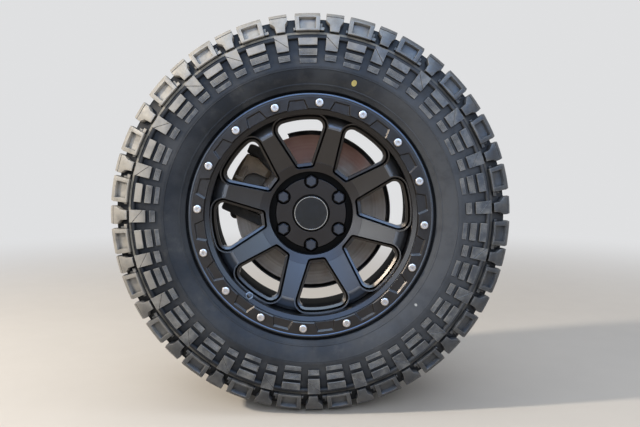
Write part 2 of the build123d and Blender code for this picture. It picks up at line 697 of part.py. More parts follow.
# Bearing: carries the shaft in the housing
bearing_front_y = housing_front_y + BEARING_INSET
with BuildPart() as hub_bearing:
    bearing_section = ring_section(
        (SHAFT_RADIUS + SHAFT_FIT, bearing_front_y),
        (BEARING_RADIUS, bearing_front_y),
        (BEARING_RADIUS, bearing_front_y + BEARING_LENGTH),
        (SHAFT_RADIUS + SHAFT_FIT, bearing_front_y + BEARING_LENGTH),
    )
    revolve(bearing_section, axis=Axis.Y)
save(hub_bearing, "hub_bearing")

# Bearing housing: barrel, square mounting flange, pilot and two ears for the caliper bracket
with BuildPart() as bearing_housing:
    housing_section = ring_section(
        (BEARING_RADIUS + SLIP / 2, housing_front_y),
        (HOUSING_RADIUS - 2, housing_front_y),
        (HOUSING_RADIUS, housing_front_y + 2),
        (HOUSING_RADIUS, 0),
        (PILOT_RADIUS, 0),
        (PILOT_RADIUS, PILOT_LENGTH),
        (SHAFT_RADIUS + 4, PILOT_LENGTH),
        (SHAFT_RADIUS + 4, bearing_front_y + BEARING_LENGTH),
        (BEARING_RADIUS + SLIP / 2, bearing_front_y + BEARING_LENGTH),
    )
    revolve(housing_section, axis=Axis.Y)
    with BuildSketch(axle_plane(0)):
        RectangleRounded(HOUSING_FLANGE, HOUSING_FLANGE, HOUSING_CORNER)
        Circle(HOUSING_RADIUS - 2, mode=Mode.SUBTRACT)
    extrude(amount=HOUSING_FLANGE_THICKNESS)
    with BuildSketch(caliper_plane(ear_back_y)):
        for side in (-1, 1):
            with BuildLine():
                Polyline(
                    (side * 20, PILOT_RADIUS + 8),
                    (side * 45, PILOT_RADIUS - 4),
                    (side * (BRACKET_BOLT_APART / 2 + 14), bracket_bolt_height - 12),
                    (side * (BRACKET_BOLT_APART / 2 + 14), bracket_bolt_height + 10),
                    (side * (BRACKET_BOLT_APART / 2 - 13), bracket_bolt_height + 10),
                    close=True,
                )
            make_face()
        Circle(PILOT_RADIUS + 5, mode=Mode.SUBTRACT)
    extrude(amount=EAR_THICKNESS)
    with Locations(axle_plane(0)):
        with around(MOUNT_CIRCLE / 2, 4, 45):
            Hole(MOUNT_HOLE / 2, HOUSING_FLANGE_THICKNESS)
    with Locations(caliper_plane(0)):
        with bracket_bolt_places():
            Hole(BRACKET_BOLT / 2 + SLIP, HOUSING_FLANGE_THICKNESS)
save(bearing_housing, "bearing_housing")

# Dust shield: thin plate on the housing flange with a rim round the disc, open at the caliper
shield_r = DISC_RADIUS + SHIELD_GAP
legs_angle = atan2(leg_x + BRACKET_LEG / 2, beam_bottom)
with BuildPart() as dust_shield:
    shield_section = ring_section(
        (HOUSING_RADIUS + SLIP, housing_flange_y - SHIELD_SHEET),
        (shield_r, housing_flange_y - SHIELD_SHEET),
        (shield_r, housing_flange_y - SHIELD_LIP),
        (shield_r + SHIELD_SHEET, housing_flange_y - SHIELD_LIP),
        (shield_r + SHIELD_SHEET, housing_flange_y),
        (HOUSING_RADIUS + SLIP, housing_flange_y),
    )
    revolve(shield_section, axis=Axis.Y)
    with BuildSketch(caliper_plane(0)):
        with BuildLine():
            cut_height = 2 * shield_r
            cut_half = cut_height * tan(legs_angle + radians(SHIELD_PAST_LEGS))
            Polyline((0, 0), (-cut_half, cut_height), (cut_half, cut_height), close=True)
        make_face()
        Circle(beam_bottom - 4, mode=Mode.SUBTRACT)
    extrude(amount=-mount_y, mode=Mode.SUBTRACT)
    with Locations(axle_plane(housing_flange_y)):
        with around(MOUNT_CIRCLE / 2, 4, 45):
            Hole(MOUNT_HOLE / 2 + 1, HOUSING_FLANGE_THICKNESS)
save(dust_shield, "dust_shield")

# Caliper bracket: two legs astride the disc's edge on a beam bolted to the housing's ears
leg_front_y = disc_front_y - PAD_GAP - PAD_LINING - PAD_PLATE
leg_inner_r = max(beam_top + 7, HAT_RADIUS + DISC_CLEARANCE)
with BuildPart() as caliper_bracket:
    with BuildSketch(caliper_plane(ear_front_y)):
        with Locations((-leg_x, 0), (leg_x, 0)):
            with Locations((0, beam_bottom)):
                Rectangle(
                    BRACKET_LEG,
                    bracket_top - beam_bottom,
                    align=(Align.CENTER, Align.MIN),
                )
    extrude(amount=ear_front_y - leg_front_y)
    outwards = Axis((0, 0, 0), caliper_side.y_dir)
    fillet(caliper_bracket.edges().filter_by(Axis.Y).group_by(outwards)[-1], 5)
    with BuildSketch(Plane.XY):
        with BuildLine():
            Polyline(
                (0, leg_front_y - 1),
                (leg_inner_r, leg_front_y - 1),
                (leg_inner_r, disc_front_y - DISC_CLEARANCE),
                (DISC_RADIUS + DISC_CLEARANCE, disc_front_y - DISC_CLEARANCE),
                (DISC_RADIUS + DISC_CLEARANCE, disc_back_y + DISC_CLEARANCE),
                (0, disc_back_y + DISC_CLEARANCE),
                close=True,
            )
        make_face()
    revolve(axis=Axis.Y, mode=Mode.SUBTRACT)
    with BuildSketch(caliper_plane(ear_front_y)):
        with Locations((0, beam_bottom)):
            Rectangle(
                2 * leg_x,
                beam_top - beam_bottom,
                align=(Align.CENTER, Align.MIN),
            )
        with guide_places():
            Circle(GUIDE_BOSS)
    extrude(amount=ear_front_y - beam_front_y)
    with BuildSketch(axle_plane(0)):
        RectangleRounded(
            HOUSING_FLANGE + 2 * SLIP,
            HOUSING_FLANGE + 2 * SLIP,
            HOUSING_CORNER,
        )
    extrude(amount=HOUSING_FLANGE_THICKNESS + SLIP, mode=Mode.SUBTRACT)
    with Locations(caliper_plane(ear_front_y)):
        with bracket_bolt_places():
            Hole(BRACKET_BOLT / 2 + SLIP / 2)
        with guide_places():
            Hole(GUIDE_RADIUS + SLIP / 2, ear_front_y - beam_front_y)
save(caliper_bracket, "caliper_bracket")

with BuildPart() as bracket_bolts:
    with BuildSketch(caliper_plane(ear_back_y)):
        with bracket_bolt_places():
            RegularPolygon(BRACKET_BOLT * 0.75, 6, major_radius=False)
    extrude(amount=-BRACKET_BOLT * 0.65)
    with BuildSketch(caliper_plane(ear_back_y)):
        with bracket_bolt_places():
            Circle(BRACKET_BOLT / 2)
    extrude(amount=ear_back_y - beam_front_y - 1)
save(bracket_bolts, "bracket_bolts")

# Caliper body: fingers on the street side, bridge over the disc, piston housing inboard
ear_y = piston_y + 20
finger_taper = FINGER_TAPER * (caliper_top - finger_bottom)
with BuildPart() as caliper_body:
    with BuildSketch(caliper_side):
        with BuildLine():
            Polyline(
                (finger_y, finger_bottom),
                (finger_y - FINGER_THICKNESS + 3, finger_bottom),
                (finger_y - FINGER_THICKNESS, finger_bottom + 8),
                (finger_y - FINGER_THICKNESS, caliper_top - CALIPER_NOSE),
                (finger_y - FINGER_THICKNESS + CALIPER_NOSE, caliper_top),
                (piston_y + 30, caliper_top),
                (piston_y + 38, piston_height + 10),
                (piston_y + 38, piston_height - 22),
                (piston_y, piston_height - 22),
                (piston_y, caliper_top - BRIDGE_THICKNESS),
                (finger_y, caliper_top - BRIDGE_THICKNESS),
                close=True,
            )
        make_face()
    extrude(amount=CALIPER_HALF_LENGTH, both=True)
    with BuildSketch(Plane.XY):
        with BuildLine():
            Polyline(
                (caliper_top, mount_y),
                (caliper_top + 60, mount_y),
                (caliper_top + 60, piston_back_y + 20),
                (caliper_top, piston_back_y + 20),
                close=True,
            )
        make_face()
    revolve(axis=Axis.Y, mode=Mode.SUBTRACT)
    with BuildSketch(caliper_plane(finger_y)):
        with Locations((0, piston_height)):
            Circle(FINGER_NOTCH / 2)
            Rectangle(FINGER_NOTCH, piston_height, align=(Align.CENTER, Align.MAX))
        for side in (-1, 1):
            with BuildLine():
                Polyline(
                    (side * FINGER_TIP_HALF, finger_bottom - 1),
                    (side * (CALIPER_HALF_LENGTH + 1), finger_bottom + finger_taper),
                    (side * (CALIPER_HALF_LENGTH + 1), finger_bottom - 1),
                    close=True,
                )
            make_face()
    extrude(amount=FINGER_THICKNESS + 1, mode=Mode.SUBTRACT)
    with BuildSketch(caliper_plane(piston_y)):
        with Locations((0, piston_height)):
            Circle(PISTON_HOUSING_RADIUS)
    extrude(amount=-PISTON_HOUSING_LENGTH)
    with BuildSketch(caliper_plane(ear_y)):
        with Locations((0, guide_height)):
            SlotOverall(2 * (guide_x + GUIDE_BOSS), 2 * GUIDE_BOSS)
    extrude(amount=-GUIDE_EAR)
    with BuildSketch(caliper_plane(piston_y)):
        with Locations((0, piston_height)):
            Circle(PISTON_HOUSING_RADIUS - PISTON_WALL)
    extrude(amount=PISTON_END_WALL - PISTON_HOUSING_LENGTH, mode=Mode.SUBTRACT)
    with BuildSketch(caliper_plane(piston_back_y)):
        with Locations((HOSE_PORT_ASIDE, piston_height)):
            Circle(HOSE_PORT / 2)
    extrude(amount=PISTON_END_WALL, mode=Mode.SUBTRACT)
    with Locations(caliper_plane(ear_y)):
        with guide_places():
            Hole(GUIDE_RADIUS + SLIP / 2, GUIDE_EAR)
save(caliper_body, "caliper_body")

with BuildPart() as caliper_piston:
    with BuildSketch(caliper_plane(piston_y)):
        with Locations((0, piston_height)):
            Circle(PISTON_HOUSING_RADIUS - PISTON_WALL - SLIP / 2)
    extrude(amount=PISTON_END_WALL + 4 - PISTON_HOUSING_LENGTH)
save(caliper_piston, "caliper_piston")

# Pads: lining towards the disc on a steel plate carried between the bracket's legs
pads = (
    # name, disc face, side away from the disc
    ("brake_pad_outer", disc_front_y, 1),
    ("brake_pad_inner", disc_back_y, -1),
)
for name, rubbed_y, out in pads:
    with BuildPart() as pad:
        with BuildSketch(caliper_plane(rubbed_y - out * PAD_GAP)):
            with BuildLine():
                low_x = PAD_HALF_LENGTH - 12
                low_r = sqrt(pad_bottom**2 + low_x**2)
                high_x = PAD_HALF_LENGTH - 5
                high_y = sqrt(pad_top**2 - high_x**2)
                low_corner = pad_bottom + 0.3 * (high_y - pad_bottom)
                high_corner = high_y - 0.15 * (high_y - pad_bottom)
                Polyline((low_x, pad_bottom), (high_x, high_y))
                ThreePointArc((high_x, high_y), (0, pad_top), (-high_x, high_y))
                Polyline((-high_x, high_y), (-low_x, pad_bottom))
                ThreePointArc((-low_x, pad_bottom), (0, low_r), (low_x, pad_bottom))
            make_face()
        extrude(amount=out * PAD_LINING)
        with BuildSketch(caliper_plane(rubbed_y - out * (PAD_GAP + PAD_LINING))):
            with BuildLine():
                Polyline((low_x, pad_bottom), (PAD_HALF_LENGTH, low_corner))
                Polyline((PAD_HALF_LENGTH, low_corner), (PAD_HALF_LENGTH, high_corner))
                Polyline((PAD_HALF_LENGTH, high_corner), (high_x, high_y))
                ThreePointArc((high_x, high_y), (0, pad_top), (-high_x, high_y))
                Polyline((-high_x, high_y), (-PAD_HALF_LENGTH, high_corner))
                Polyline((-PAD_HALF_LENGTH, high_corner), (-PAD_HALF_LENGTH, low_corner))
                Polyline((-PAD_HALF_LENGTH, low_corner), (-low_x, pad_bottom))
                ThreePointArc((-low_x, pad_bottom), (0, low_r), (low_x, pad_bottom))
            make_face()
        extrude(amount=out * PAD_PLATE)
    save(pad, name)

# Guide pins with rubber boots between the bracket and the caliper's ears
with BuildPart() as guide_pins:
    with BuildSketch(caliper_plane(ear_y + GUIDE_EAR)):
        with guide_places():
            Circle(GUIDE_RADIUS)
    extrude(amount=ear_y + GUIDE_EAR - beam_front_y - 2)
    with BuildSketch(caliper_plane(ear_y + GUIDE_EAR)):
        with guide_places():
            RegularPolygon(8, 6, major_radius=False)
    extrude(amount=-6)
save(guide_pins, "guide_pins")

with BuildPart() as guide_boots:
    with BuildSketch(caliper_plane(ear_y - SLIP)):
        with guide_places():
            Circle(GUIDE_RADIUS + 4)
            Circle(GUIDE_RADIUS + SLIP / 2, mode=Mode.SUBTRACT)
    extrude(amount=ear_y - ear_front_y - 2 * SLIP)
save(guide_boots, "guide_boots")
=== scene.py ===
"""Off-road wheel and brake assembly: finishes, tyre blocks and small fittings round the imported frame."""

import logging
import math
from dataclasses import dataclass, field, replace
from enum import Enum
from typing import Iterable, Sequence

import bmesh
import bpy
from mathutils import Matrix, Vector


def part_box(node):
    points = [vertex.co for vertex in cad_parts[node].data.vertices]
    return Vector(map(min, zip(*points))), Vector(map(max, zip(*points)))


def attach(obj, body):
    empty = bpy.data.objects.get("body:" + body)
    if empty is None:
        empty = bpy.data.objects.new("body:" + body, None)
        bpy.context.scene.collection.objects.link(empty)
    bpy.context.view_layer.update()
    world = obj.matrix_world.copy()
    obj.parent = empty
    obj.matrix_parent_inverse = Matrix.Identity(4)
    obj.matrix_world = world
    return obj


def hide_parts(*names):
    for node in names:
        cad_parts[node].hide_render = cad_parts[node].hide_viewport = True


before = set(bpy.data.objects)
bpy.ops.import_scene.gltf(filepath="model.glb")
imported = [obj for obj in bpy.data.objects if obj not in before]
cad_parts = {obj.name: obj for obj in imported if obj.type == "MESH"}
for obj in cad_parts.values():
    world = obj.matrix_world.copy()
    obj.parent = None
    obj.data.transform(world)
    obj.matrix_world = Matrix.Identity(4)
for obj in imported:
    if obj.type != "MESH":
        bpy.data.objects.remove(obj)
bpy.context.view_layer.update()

logging.basicConfig(level=logging.INFO, format="%(message)s")
log = logging.getLogger("wheel")

Point = tuple[float, float]
Range = tuple[float, float]
Triple = tuple[float, float, float]
Colour = Triple
Socket = bpy.types.NodeSocket
Mesh = bmesh.types.BMesh
Faces = list[bmesh.types.BMFace]

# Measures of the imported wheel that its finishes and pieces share, in metres and degrees.
# WINDOW_CLOCK is the clock angle of a window's middle line. Each window is drawn on a plane that
# leans with the dished face, where y = DISH_APEX - DISH_SLOPE * the distance along that line.
TYRE_MIDDLE = -0.094
SPOKE_COUNT = 8
WINDOW_CLOCK = -7.05
DISH_APEX = -0.11764
DISH_SLOPE = 0.2887

# Points nearer than TOUCHING are one, and edges shorter than SLIVER are taken out, in metres
TOUCHING = 1e-6
SLIVER = 1e-5

# Angles past which an edge is rounded, and past which it stays sharp in the shading, in radians
ROUNDED_ANGLE = 0.5
SHARP_ANGLE = math.radians(38)


class Body(Enum):
    """The bodies that pieces ride on."""

    WHEEL = "wheel"
    AXLE_END = "axle_end"


class Side(Enum):
    """The two sides of the tyre, by the sign of Y from its centre plane."""

    STREET = -1
    INBOARD = 1


class Pattern(Enum):
    """What a finish adds to its plain mottling."""

    PLAIN = "plain"
    TURNED = "turned"
    DUSTY_TREAD = "dusty tread"
    CAST = "cast"


# Finishes


@dataclass(frozen=True)
class Finish:
    """A paint, metal, rubber or moulding, as the numbers that its nodes are given.

    Lengths are in metres and colours are linear. What is 0 or None leaves its effect out.

    Attributes:
        name: the material's name.
        colour: one colour of the clouded surface.
        mottle: its other colour.
        mottle_scale: how fine the clouds are.
        mottle_share: how softly the two colours blend.
        metallic: the metallic share.
        roughness: the range of the roughness.
        coat: weight of a clear coat.
        coat_roughness: its roughness.
        grain_scale: how fine the finest relief is.
        grain_depth: how deep it is.
        wave_scale: how fine a slow unevenness is.
        wave_depth: how deep it is.
        dust: colour of the dust that lies everywhere.
        dust_share: how much of it shows.
        wear_and_highlight: colour of edges lightened as rubbing and painted highlight.
        wear_and_highlight_share: how much of it shows.
        wear_and_highlight_reach: how wide that lighter edge is.
        edge_radius: how round the edges look.
        hollow_reach: how wide the hollows are that get painted shade.
        hollow_shade: how much of the colour is left in them.
        inner_y: where, along the axle, the dull undercoat starts, kept nearly black as painted shade.
        shade_from: the radius past which the surface gets painted shade.
        lit_side_share: how much shows of the painted light on one side.
        lit_side: the direction of that side from the axle.
        lit_side_colour: the colour of that painted light.
        lit_side_reach: the radii between which it starts.
        ridge: inner and outer radius of a low ridge that gets painted sunlight on one side of the tyre.
        painted_shade_band: inner and outer radius of a black ring of painted shade.
        window_shade: the depths below the dished face between which a window's frame gets painted shade.
        specular: strength of the reflection.
        pattern: what is added to the mottling.
    """

    name: str
    colour: Colour
    mottle: Colour
    mottle_scale: float = 9.0
    mottle_share: float = 0.5
    metallic: float = 0.0
    roughness: Range = (0.4, 0.6)
    coat: float = 0.0
    coat_roughness: float = 0.25
    grain_scale: float = 900.0
    grain_depth: float = 0.00004
    wave_scale: float = 40.0
    wave_depth: float = 0.0
    dust: Colour = (0.20, 0.165, 0.125)
    dust_share: float = 0.0
    wear_and_highlight: Colour = (0.0, 0.0, 0.0)
    wear_and_highlight_share: float = 0.0
    wear_and_highlight_reach: float = 0.0012
    edge_radius: float = 0.0
    hollow_reach: float = 0.0
    hollow_shade: float = 0.25
    inner_y: float | None = None
    shade_from: float = 0.0
    lit_side_share: float = 0.0
    lit_side: Triple = (-0.80, 0.0, 0.60)
    lit_side_colour: Colour = (0.36, 0.33, 0.285)
    lit_side_reach: Range = (0.318, 0.352)
    ridge: Range | None = None
    painted_shade_band: Range | None = None
    window_shade: Range | None = None
    specular: float = 0.5
    pattern: Pattern = Pattern.PLAIN

    def material(self) -> bpy.types.Material:
        """The finish as a node material, made once.

        Returns:
            The material, reading Object coordinates.
        """
        made = bpy.data.materials.get(self.name)
        if made:
            return made
        return FinishNodes(self).build()


class FinishNodes:
    """Builds the node tree of one finish.

    Attributes:
        DEEP_SHADE: colour of painted deep shade.
        SHADED_RUBBER: colour of the painted shade on the sidewall's outer part.
        RIDGE_SUNLIGHT: colour of the painted sunlight on the low ridge.
        RUST: colour of the rust on turned iron.
        SHADED_UNDERCOATS: the two colours of the dull undercoat, nearly black as painted shade.
        GLOSS_CLOUD: values of the noise that give the least and the most roughness.
        DUST_ROUGHNESS: how much rougher full dust makes the surface.
        SHADE_RUN: over how much radius that painted shade comes in.
        SHADE_SHARE: how much of it shows there at most.
        UNDERCOAT_RUN: over how much depth the undercoat starts.
        UNDERCOAT_ROUGHNESS: how much rougher it is than the paint.
        LIT_QUARTER: how far towards its side the painted light starts, and is full.
        CROWN_LIGHT: how much of the painted light is left on the crown.
        WORN_AND_LIT_EDGE: how far a rounded normal agrees with the true one where the lighter edge starts,
            and is full.
        HOLLOW: how open a place is where its painted shade is darkest, and where it keeps its colour.
        LUG_SIDES: the radii between which the lugs get less dust.
        SHOULDER: the distances from the tyre's middle plane between which the coat gets full.
        WINDOW_FLOOR: the depths below the dished face past which a window's wall gets painted shade.
        WINDOW_FOOT: the radii between which the windows start.
        RUST_HEIGHT: the heights between which the rust starts.
        BAND_EDGES: half widths of a band's lower and upper edge.
        RUST_SHARE: how much of the rust shows at most.
        RING_DEPTH: depth of the fine rings on turned iron.
        RING_SHADE: how much of the colour is left in them.
        RING_ROUGHNESS: how much rougher they are.
    """

    DEEP_SHADE: Colour = (0.004, 0.004, 0.004)
    SHADED_RUBBER: Colour = (0.010, 0.0108, 0.0125)
    RIDGE_SUNLIGHT: Colour = (0.27, 0.25, 0.215)
    RUST: Colour = (0.33, 0.125, 0.075)
    SHADED_UNDERCOATS: tuple[Colour, Colour] = ((0.003, 0.003, 0.003), (0.008, 0.007, 0.006))
    GLOSS_CLOUD: Range = (0.35, 0.65)
    DUST_ROUGHNESS = 0.25
    SHADE_RUN = 0.016
    SHADE_SHARE = 0.62
    UNDERCOAT_RUN = 0.004
    UNDERCOAT_ROUGHNESS = 0.42
    LIT_QUARTER: Range = (0.06, 0.76)
    CROWN_LIGHT = 0.35
    WORN_AND_LIT_EDGE: Range = (0.985, 0.93)
    HOLLOW: Range = (0.40, 0.93)
    LUG_SIDES: Range = (0.366, 0.384)
    SHOULDER: Range = (0.104, 0.124)
    WINDOW_FLOOR: Range = (0.0100, 0.0106)
    WINDOW_FOOT: Range = (0.0950, 0.0965)
    RUST_HEIGHT: Range = (0.13, 0.19)
    BAND_EDGES: tuple[float, float] = (0.0004, 0.0003)
    RUST_SHARE = 0.75
    RING_DEPTH = 0.00015
    RING_SHADE = 0.45
    RING_ROUGHNESS = 0.15

    def __init__(self, finish: Finish) -> None:
        """Starts an empty tree.

        Args:
            finish: the finish whose numbers are used.
        """
        self.finish = finish
        self.made = bpy.data.materials.new(finish.name)
        self.made.use_nodes = True
        self.tree = self.made.node_tree
        self.tree.nodes.clear()

    def node(self, kind: str, **settings: object) -> bpy.types.Node:
        """A new node with some of its own settings.

        Args:
            kind: its type's name, without the prefix that all of them have.
            settings: its settings by name.

        Returns:
            The node.
        """
        made = self.tree.nodes.new("ShaderNode" + kind)
        for name, value in settings.items():
            setattr(made, name, value)
        return made

    def feed(self, socket: Socket, value: object) -> None:
        """Links or sets one input.

        Args:
            socket: the input.
            value: an output socket to link, or a number or colour to set.
        """
        if isinstance(value, Socket):
            self.tree.links.new(value, socket)
        elif isinstance(value, tuple) and len(value) == 3 and socket.type == "RGBA":
            socket.default_value = (*value, 1.0)
        else:
            socket.default_value = value

    def feed_all(self, node: bpy.types.Node, values: dict[int | str, object]) -> None:
        """Links or sets several inputs of a node.

        Args:
            node: the node.
            values: what each input is given, by its name or number.
        """
        for key, value in values.items():
            self.feed(node.inputs[key], value)

    def math(self, operation: str, *values: object, clamp: bool = False) -> Socket:
        """One Math node.

        Args:
            operation: its name in Blender.
            values: its inputs in order.
            clamp: whether the result is kept between 0 and 1.

        Returns:
            The result's socket.
        """
        made = self.node("Math", operation=operation, use_clamp=clamp)
        for socket, value in zip(made.inputs, values):
            self.feed(socket, value)
        return made.outputs[0]

    def product(self, first: object, *others: object) -> Socket:
        """Multiplies two or more values.

        Args:
            first: a socket or number.
            others: more of them.

        Returns:
            The product's socket.
        """
        for other in others:
            first = self.math("MULTIPLY", first, other)
        return first

    def rougher(self, rough: Socket, share: Socket, amount: float) -> Socket:
        """Adds an amount of roughness as far as a share says."""
        return self.math("ADD", rough, self.product(share, amount), clamp=True)

    def noise(self, where: Socket, scale: float, detail: float = 3.0, rough: float = 0.5) -> Socket:
        """Smooth noise between about 0.25 and 0.75.

        Args:
            where: Object coordinates.
            scale: how fine it is.
            detail: how many finer layers it has.
            rough: how strong the finer layers are.

        Returns:
            The noise's socket.
        """
        made = self.node("TexNoise")
        self.feed_all(made, {"Vector": where, "Scale": scale, "Detail": detail, "Roughness": rough})
        return made.outputs["Fac"]

    def span(self, value: object, low: float, high: float, out_low: float = 0.0,
             out_high: float = 1.0) -> Socket:
        """Stretches a range to another and clamps it.

        Args:
            value: what is stretched.
            low: the value that gives out_low.
            high: the value that gives out_high.
            out_low: the start of the new range.
            out_high: its end.

        Returns:
            The stretched value's socket.
        """
        made = self.node("MapRange", clamp=True, interpolation_type="SMOOTHSTEP")
        for socket, number in zip(made.inputs, (value, low, high, out_low, out_high)):
            self.feed(socket, number)
        return made.outputs[0]

    def mix(self, share: object, first: object, second: object, blend: str = "MIX") -> Socket:
        """Blends two colours.

        Args:
            share: how much of the second one shows.
            first: a colour or its socket.
            second: the other colour.
            blend: how they are blended, by its name in Blender.

        Returns:
            The colour's socket.
        """
        made = self.node("Mix", data_type="RGBA", blend_type=blend)
        self.feed_all(made, {0: share, 6: first, 7: second})
        return made.outputs[2]

    def bump(self, height: object, depth: float, normal: Socket | None = None) -> Socket:
        """Raises the surface by a height between 0 and 1 times a depth.

        Args:
            height: the height's socket.
            depth: in metres.
            normal: the normal so far, if there is one.

        Returns:
            The new normal.
        """
        made = self.node("Bump")
        self.feed_all(made, {"Strength": 1.0, "Distance": depth, "Height": height})
        if normal:
            self.feed(made.inputs["Normal"], normal)
        return made.outputs["Normal"]

    def rounded(self, radius: float, samples: int) -> Socket:
        """The normal as it is when edges are rounded.

        Args:
            radius: how round they are.
            samples: how finely it is worked out.

        Returns:
            The normal.
        """
        made = self.node("Bevel", samples=samples)
        self.feed(made.inputs["Radius"], radius)
        return made.outputs[0]

    def parts(self, where: Socket) -> list[Socket]:
        """Takes a place apart.

        Args:
            where: Object coordinates.

        Returns:
            Its x, y and z.
        """
        apart = self.node("SeparateXYZ")
        self.feed(apart.inputs[0], where)
        return list(apart.outputs)

    def agreement(self, first: Socket, second: object) -> Socket:
        """How far two directions agree.

        Args:
            first: a direction's socket.
            second: the other one.

        Returns:
            From -1, when they are opposite, to 1.
        """
        made = self.node("VectorMath", operation="DOT_PRODUCT")
        self.feed_all(made, {0: first, 1: second})
        return made.outputs["Value"]

    def radius(self, where: Socket) -> Socket:
        """Distance from the axle."""
        x, _, z = self.parts(where)
        return self.math("SQRT", self.math("ADD", self.product(x, x), self.product(z, z)))

    def towards(self, where: Socket, side: Triple) -> Socket:
        """How far a point lies to one side of the axle.

        Args:
            where: Object coordinates.
            side: the direction of that side, of length 1.

        Returns:
            From -1, on the other side, to 1.
        """
        flat = self.node("VectorMath", operation="NORMALIZE")
        self.feed(flat.inputs[0], where)
        return self.agreement(flat.outputs["Vector"], side)

    def band(self, value: Socket, low: float, high: float) -> Socket:
        """Where a value is between two others.

        Args:
            value: the value's socket.
            low: the lower limit.
            high: the upper limit.

        Returns:
            The share, 1 between them and 0 outside.
        """
        low_edge, high_edge = self.BAND_EDGES
        return self.product(self.span(value, low - low_edge, low + low_edge),
                            self.span(value, high + high_edge, high - high_edge))

    def build(self) -> bpy.types.Material:
        """Wires the whole tree.

        Returns:
            The finished material.
        """
        return self.output(self.surface())

    def output(self, shader: Socket) -> bpy.types.Material:
        """Ends the tree with a shader."""
        self.feed(self.node("OutputMaterial").inputs["Surface"], shader)
        return self.made

    def surface(self) -> Socket:
        """Wires the finish up to its shader.

        Returns:
            The shader's socket.
        """
        finish = self.finish
        where = self.node("TexCoord").outputs["Object"]
        cloud = self.noise(where, finish.mottle_scale, detail=5.0, rough=0.6)
        patches = self.span(cloud, 0.5 - finish.mottle_share / 2, 0.5 + finish.mottle_share / 2)
        colour = self.mix(patches, finish.colour, finish.mottle)
        gloss_cloud = self.noise(where, finish.mottle_scale * 4, detail=4.0)
        rough = self.span(gloss_cloud, *self.GLOSS_CLOUD, *finish.roughness)
        normal = self.relief(where)
        metallic = finish.metallic
        if finish.pattern is Pattern.TURNED:
            colour, normal, rough = self.turned(where, colour, normal, rough)
        # Painted shade on the sidewall's outer part
        if finish.shade_from:
            start = finish.shade_from
            zone = self.span(self.radius(where), start, start + self.SHADE_RUN, out_high=self.SHADE_SHARE)
            colour = self.mix(zone, colour, self.SHADED_RUBBER)
        # Edges lightened as rubbing and painted highlight
        if finish.wear_and_highlight_share:
            colour = self.mix(self.worn_and_lit_edges(where), colour, finish.wear_and_highlight)
        if finish.dust_share:
            share = self.drift_share(where)
            colour = self.mix(share, colour, finish.dust)
            rough = self.rougher(rough, share, self.DUST_ROUGHNESS)
        # Painted light on one side of the tyre
        if finish.lit_side_share:
            colour = self.mix(self.lit_side_part(where), colour, finish.lit_side_colour)
        # Painted shade in tight hollows
        if finish.hollow_reach:
            colour = self.shaded(colour)
        # Painted sunlight on the low ridge, laid over the painted shade of the hollows
        if finish.ridge:
            colour = self.mix(self.sunlit_ridge_share(where), colour, self.RIDGE_SUNLIGHT)
        # A black ring of painted shade, in the recess round the hub's pad
        if finish.painted_shade_band:
            colour = self.mix(self.band(self.radius(where), *finish.painted_shade_band), colour, self.DEEP_SHADE)
        # Painted shade on the steep walls of the windows
        if finish.window_shade:
            colour = self.mix(self.window_shade_share(where), colour, self.DEEP_SHADE)
        # A dull undercoat inside the barrel, kept nearly black as painted shade
        if finish.inner_y is not None:
            colour, rough, metallic = self.inside(where, colour, rough)
        shader = self.node("BsdfPrincipled")
        self.feed_all(shader, {
            "Base Color": colour,
            "Metallic": metallic,
            "Roughness": rough,
            "Specular IOR Level": finish.specular,
            "Coat Weight": finish.coat,
            "Coat Roughness": finish.coat_roughness,
            "Normal": normal,
        })
        return shader.outputs[0]

    def relief(self, where: Socket) -> Socket:
        """Rounded edges, slow waves, the pits of a casting and the grain.

        Args:
            where: Object coordinates.

        Returns:
            The normal.
        """
        finish = self.finish
        normal = None
        if finish.edge_radius:
            normal = self.rounded(finish.edge_radius, 4)
        if finish.wave_depth:
            normal = self.bump(self.noise(where, finish.wave_scale), finish.wave_depth, normal)
        if finish.pattern is Pattern.CAST:
            pits = self.noise(where, finish.grain_scale / 3, detail=4.0, rough=0.7)
            normal = self.bump(pits, finish.grain_depth * 3, normal)
        grain = self.noise(where, finish.grain_scale, detail=2.0)
        return self.bump(grain, finish.grain_depth, normal)

    def drift_share(self, where: Socket) -> Socket:
        """Where dust has drifted, up to the finish's own share.

        Args:
            where: Object coordinates.

        Returns:
            The share, less on the outer part of the lugs of a dusty tread.
        """
        amount = self.finish.dust_share
        drift = self.noise(where, self.finish.mottle_scale * 2.3, detail=6.0, rough=0.65)
        share = self.span(drift, 0.62 - amount * 0.4, 0.8, out_high=amount)
        if self.finish.pattern is Pattern.DUSTY_TREAD:
            inner_share = self.span(self.radius(where), *self.LUG_SIDES, out_low=1.0, out_high=0.30)
            share = self.product(share, inner_share)
        return share

    def lit_side_part(self, where: Socket) -> Socket:
        """Where one side of the tyre gets painted light, less on its crown than on its sidewalls.

        Args:
            where: Object coordinates.

        Returns:
            The share, up to the finish's own.
        """
        finish = self.finish
        quarter = self.span(self.towards(where, finish.lit_side), *self.LIT_QUARTER)
        outward = self.span(self.radius(where), *finish.lit_side_reach)
        cloud = self.noise(where, 30.0, detail=5.0, rough=0.65)
        patch = self.span(cloud, 0.30, 0.58, out_low=0.62)
        aside = self.math("ABSOLUTE", self.math("SUBTRACT", self.parts(where)[1], TYRE_MIDDLE))
        off_crown = self.span(aside, *self.SHOULDER, out_low=self.CROWN_LIGHT)
        return self.product(quarter, outward, patch, off_crown, finish.lit_side_share)

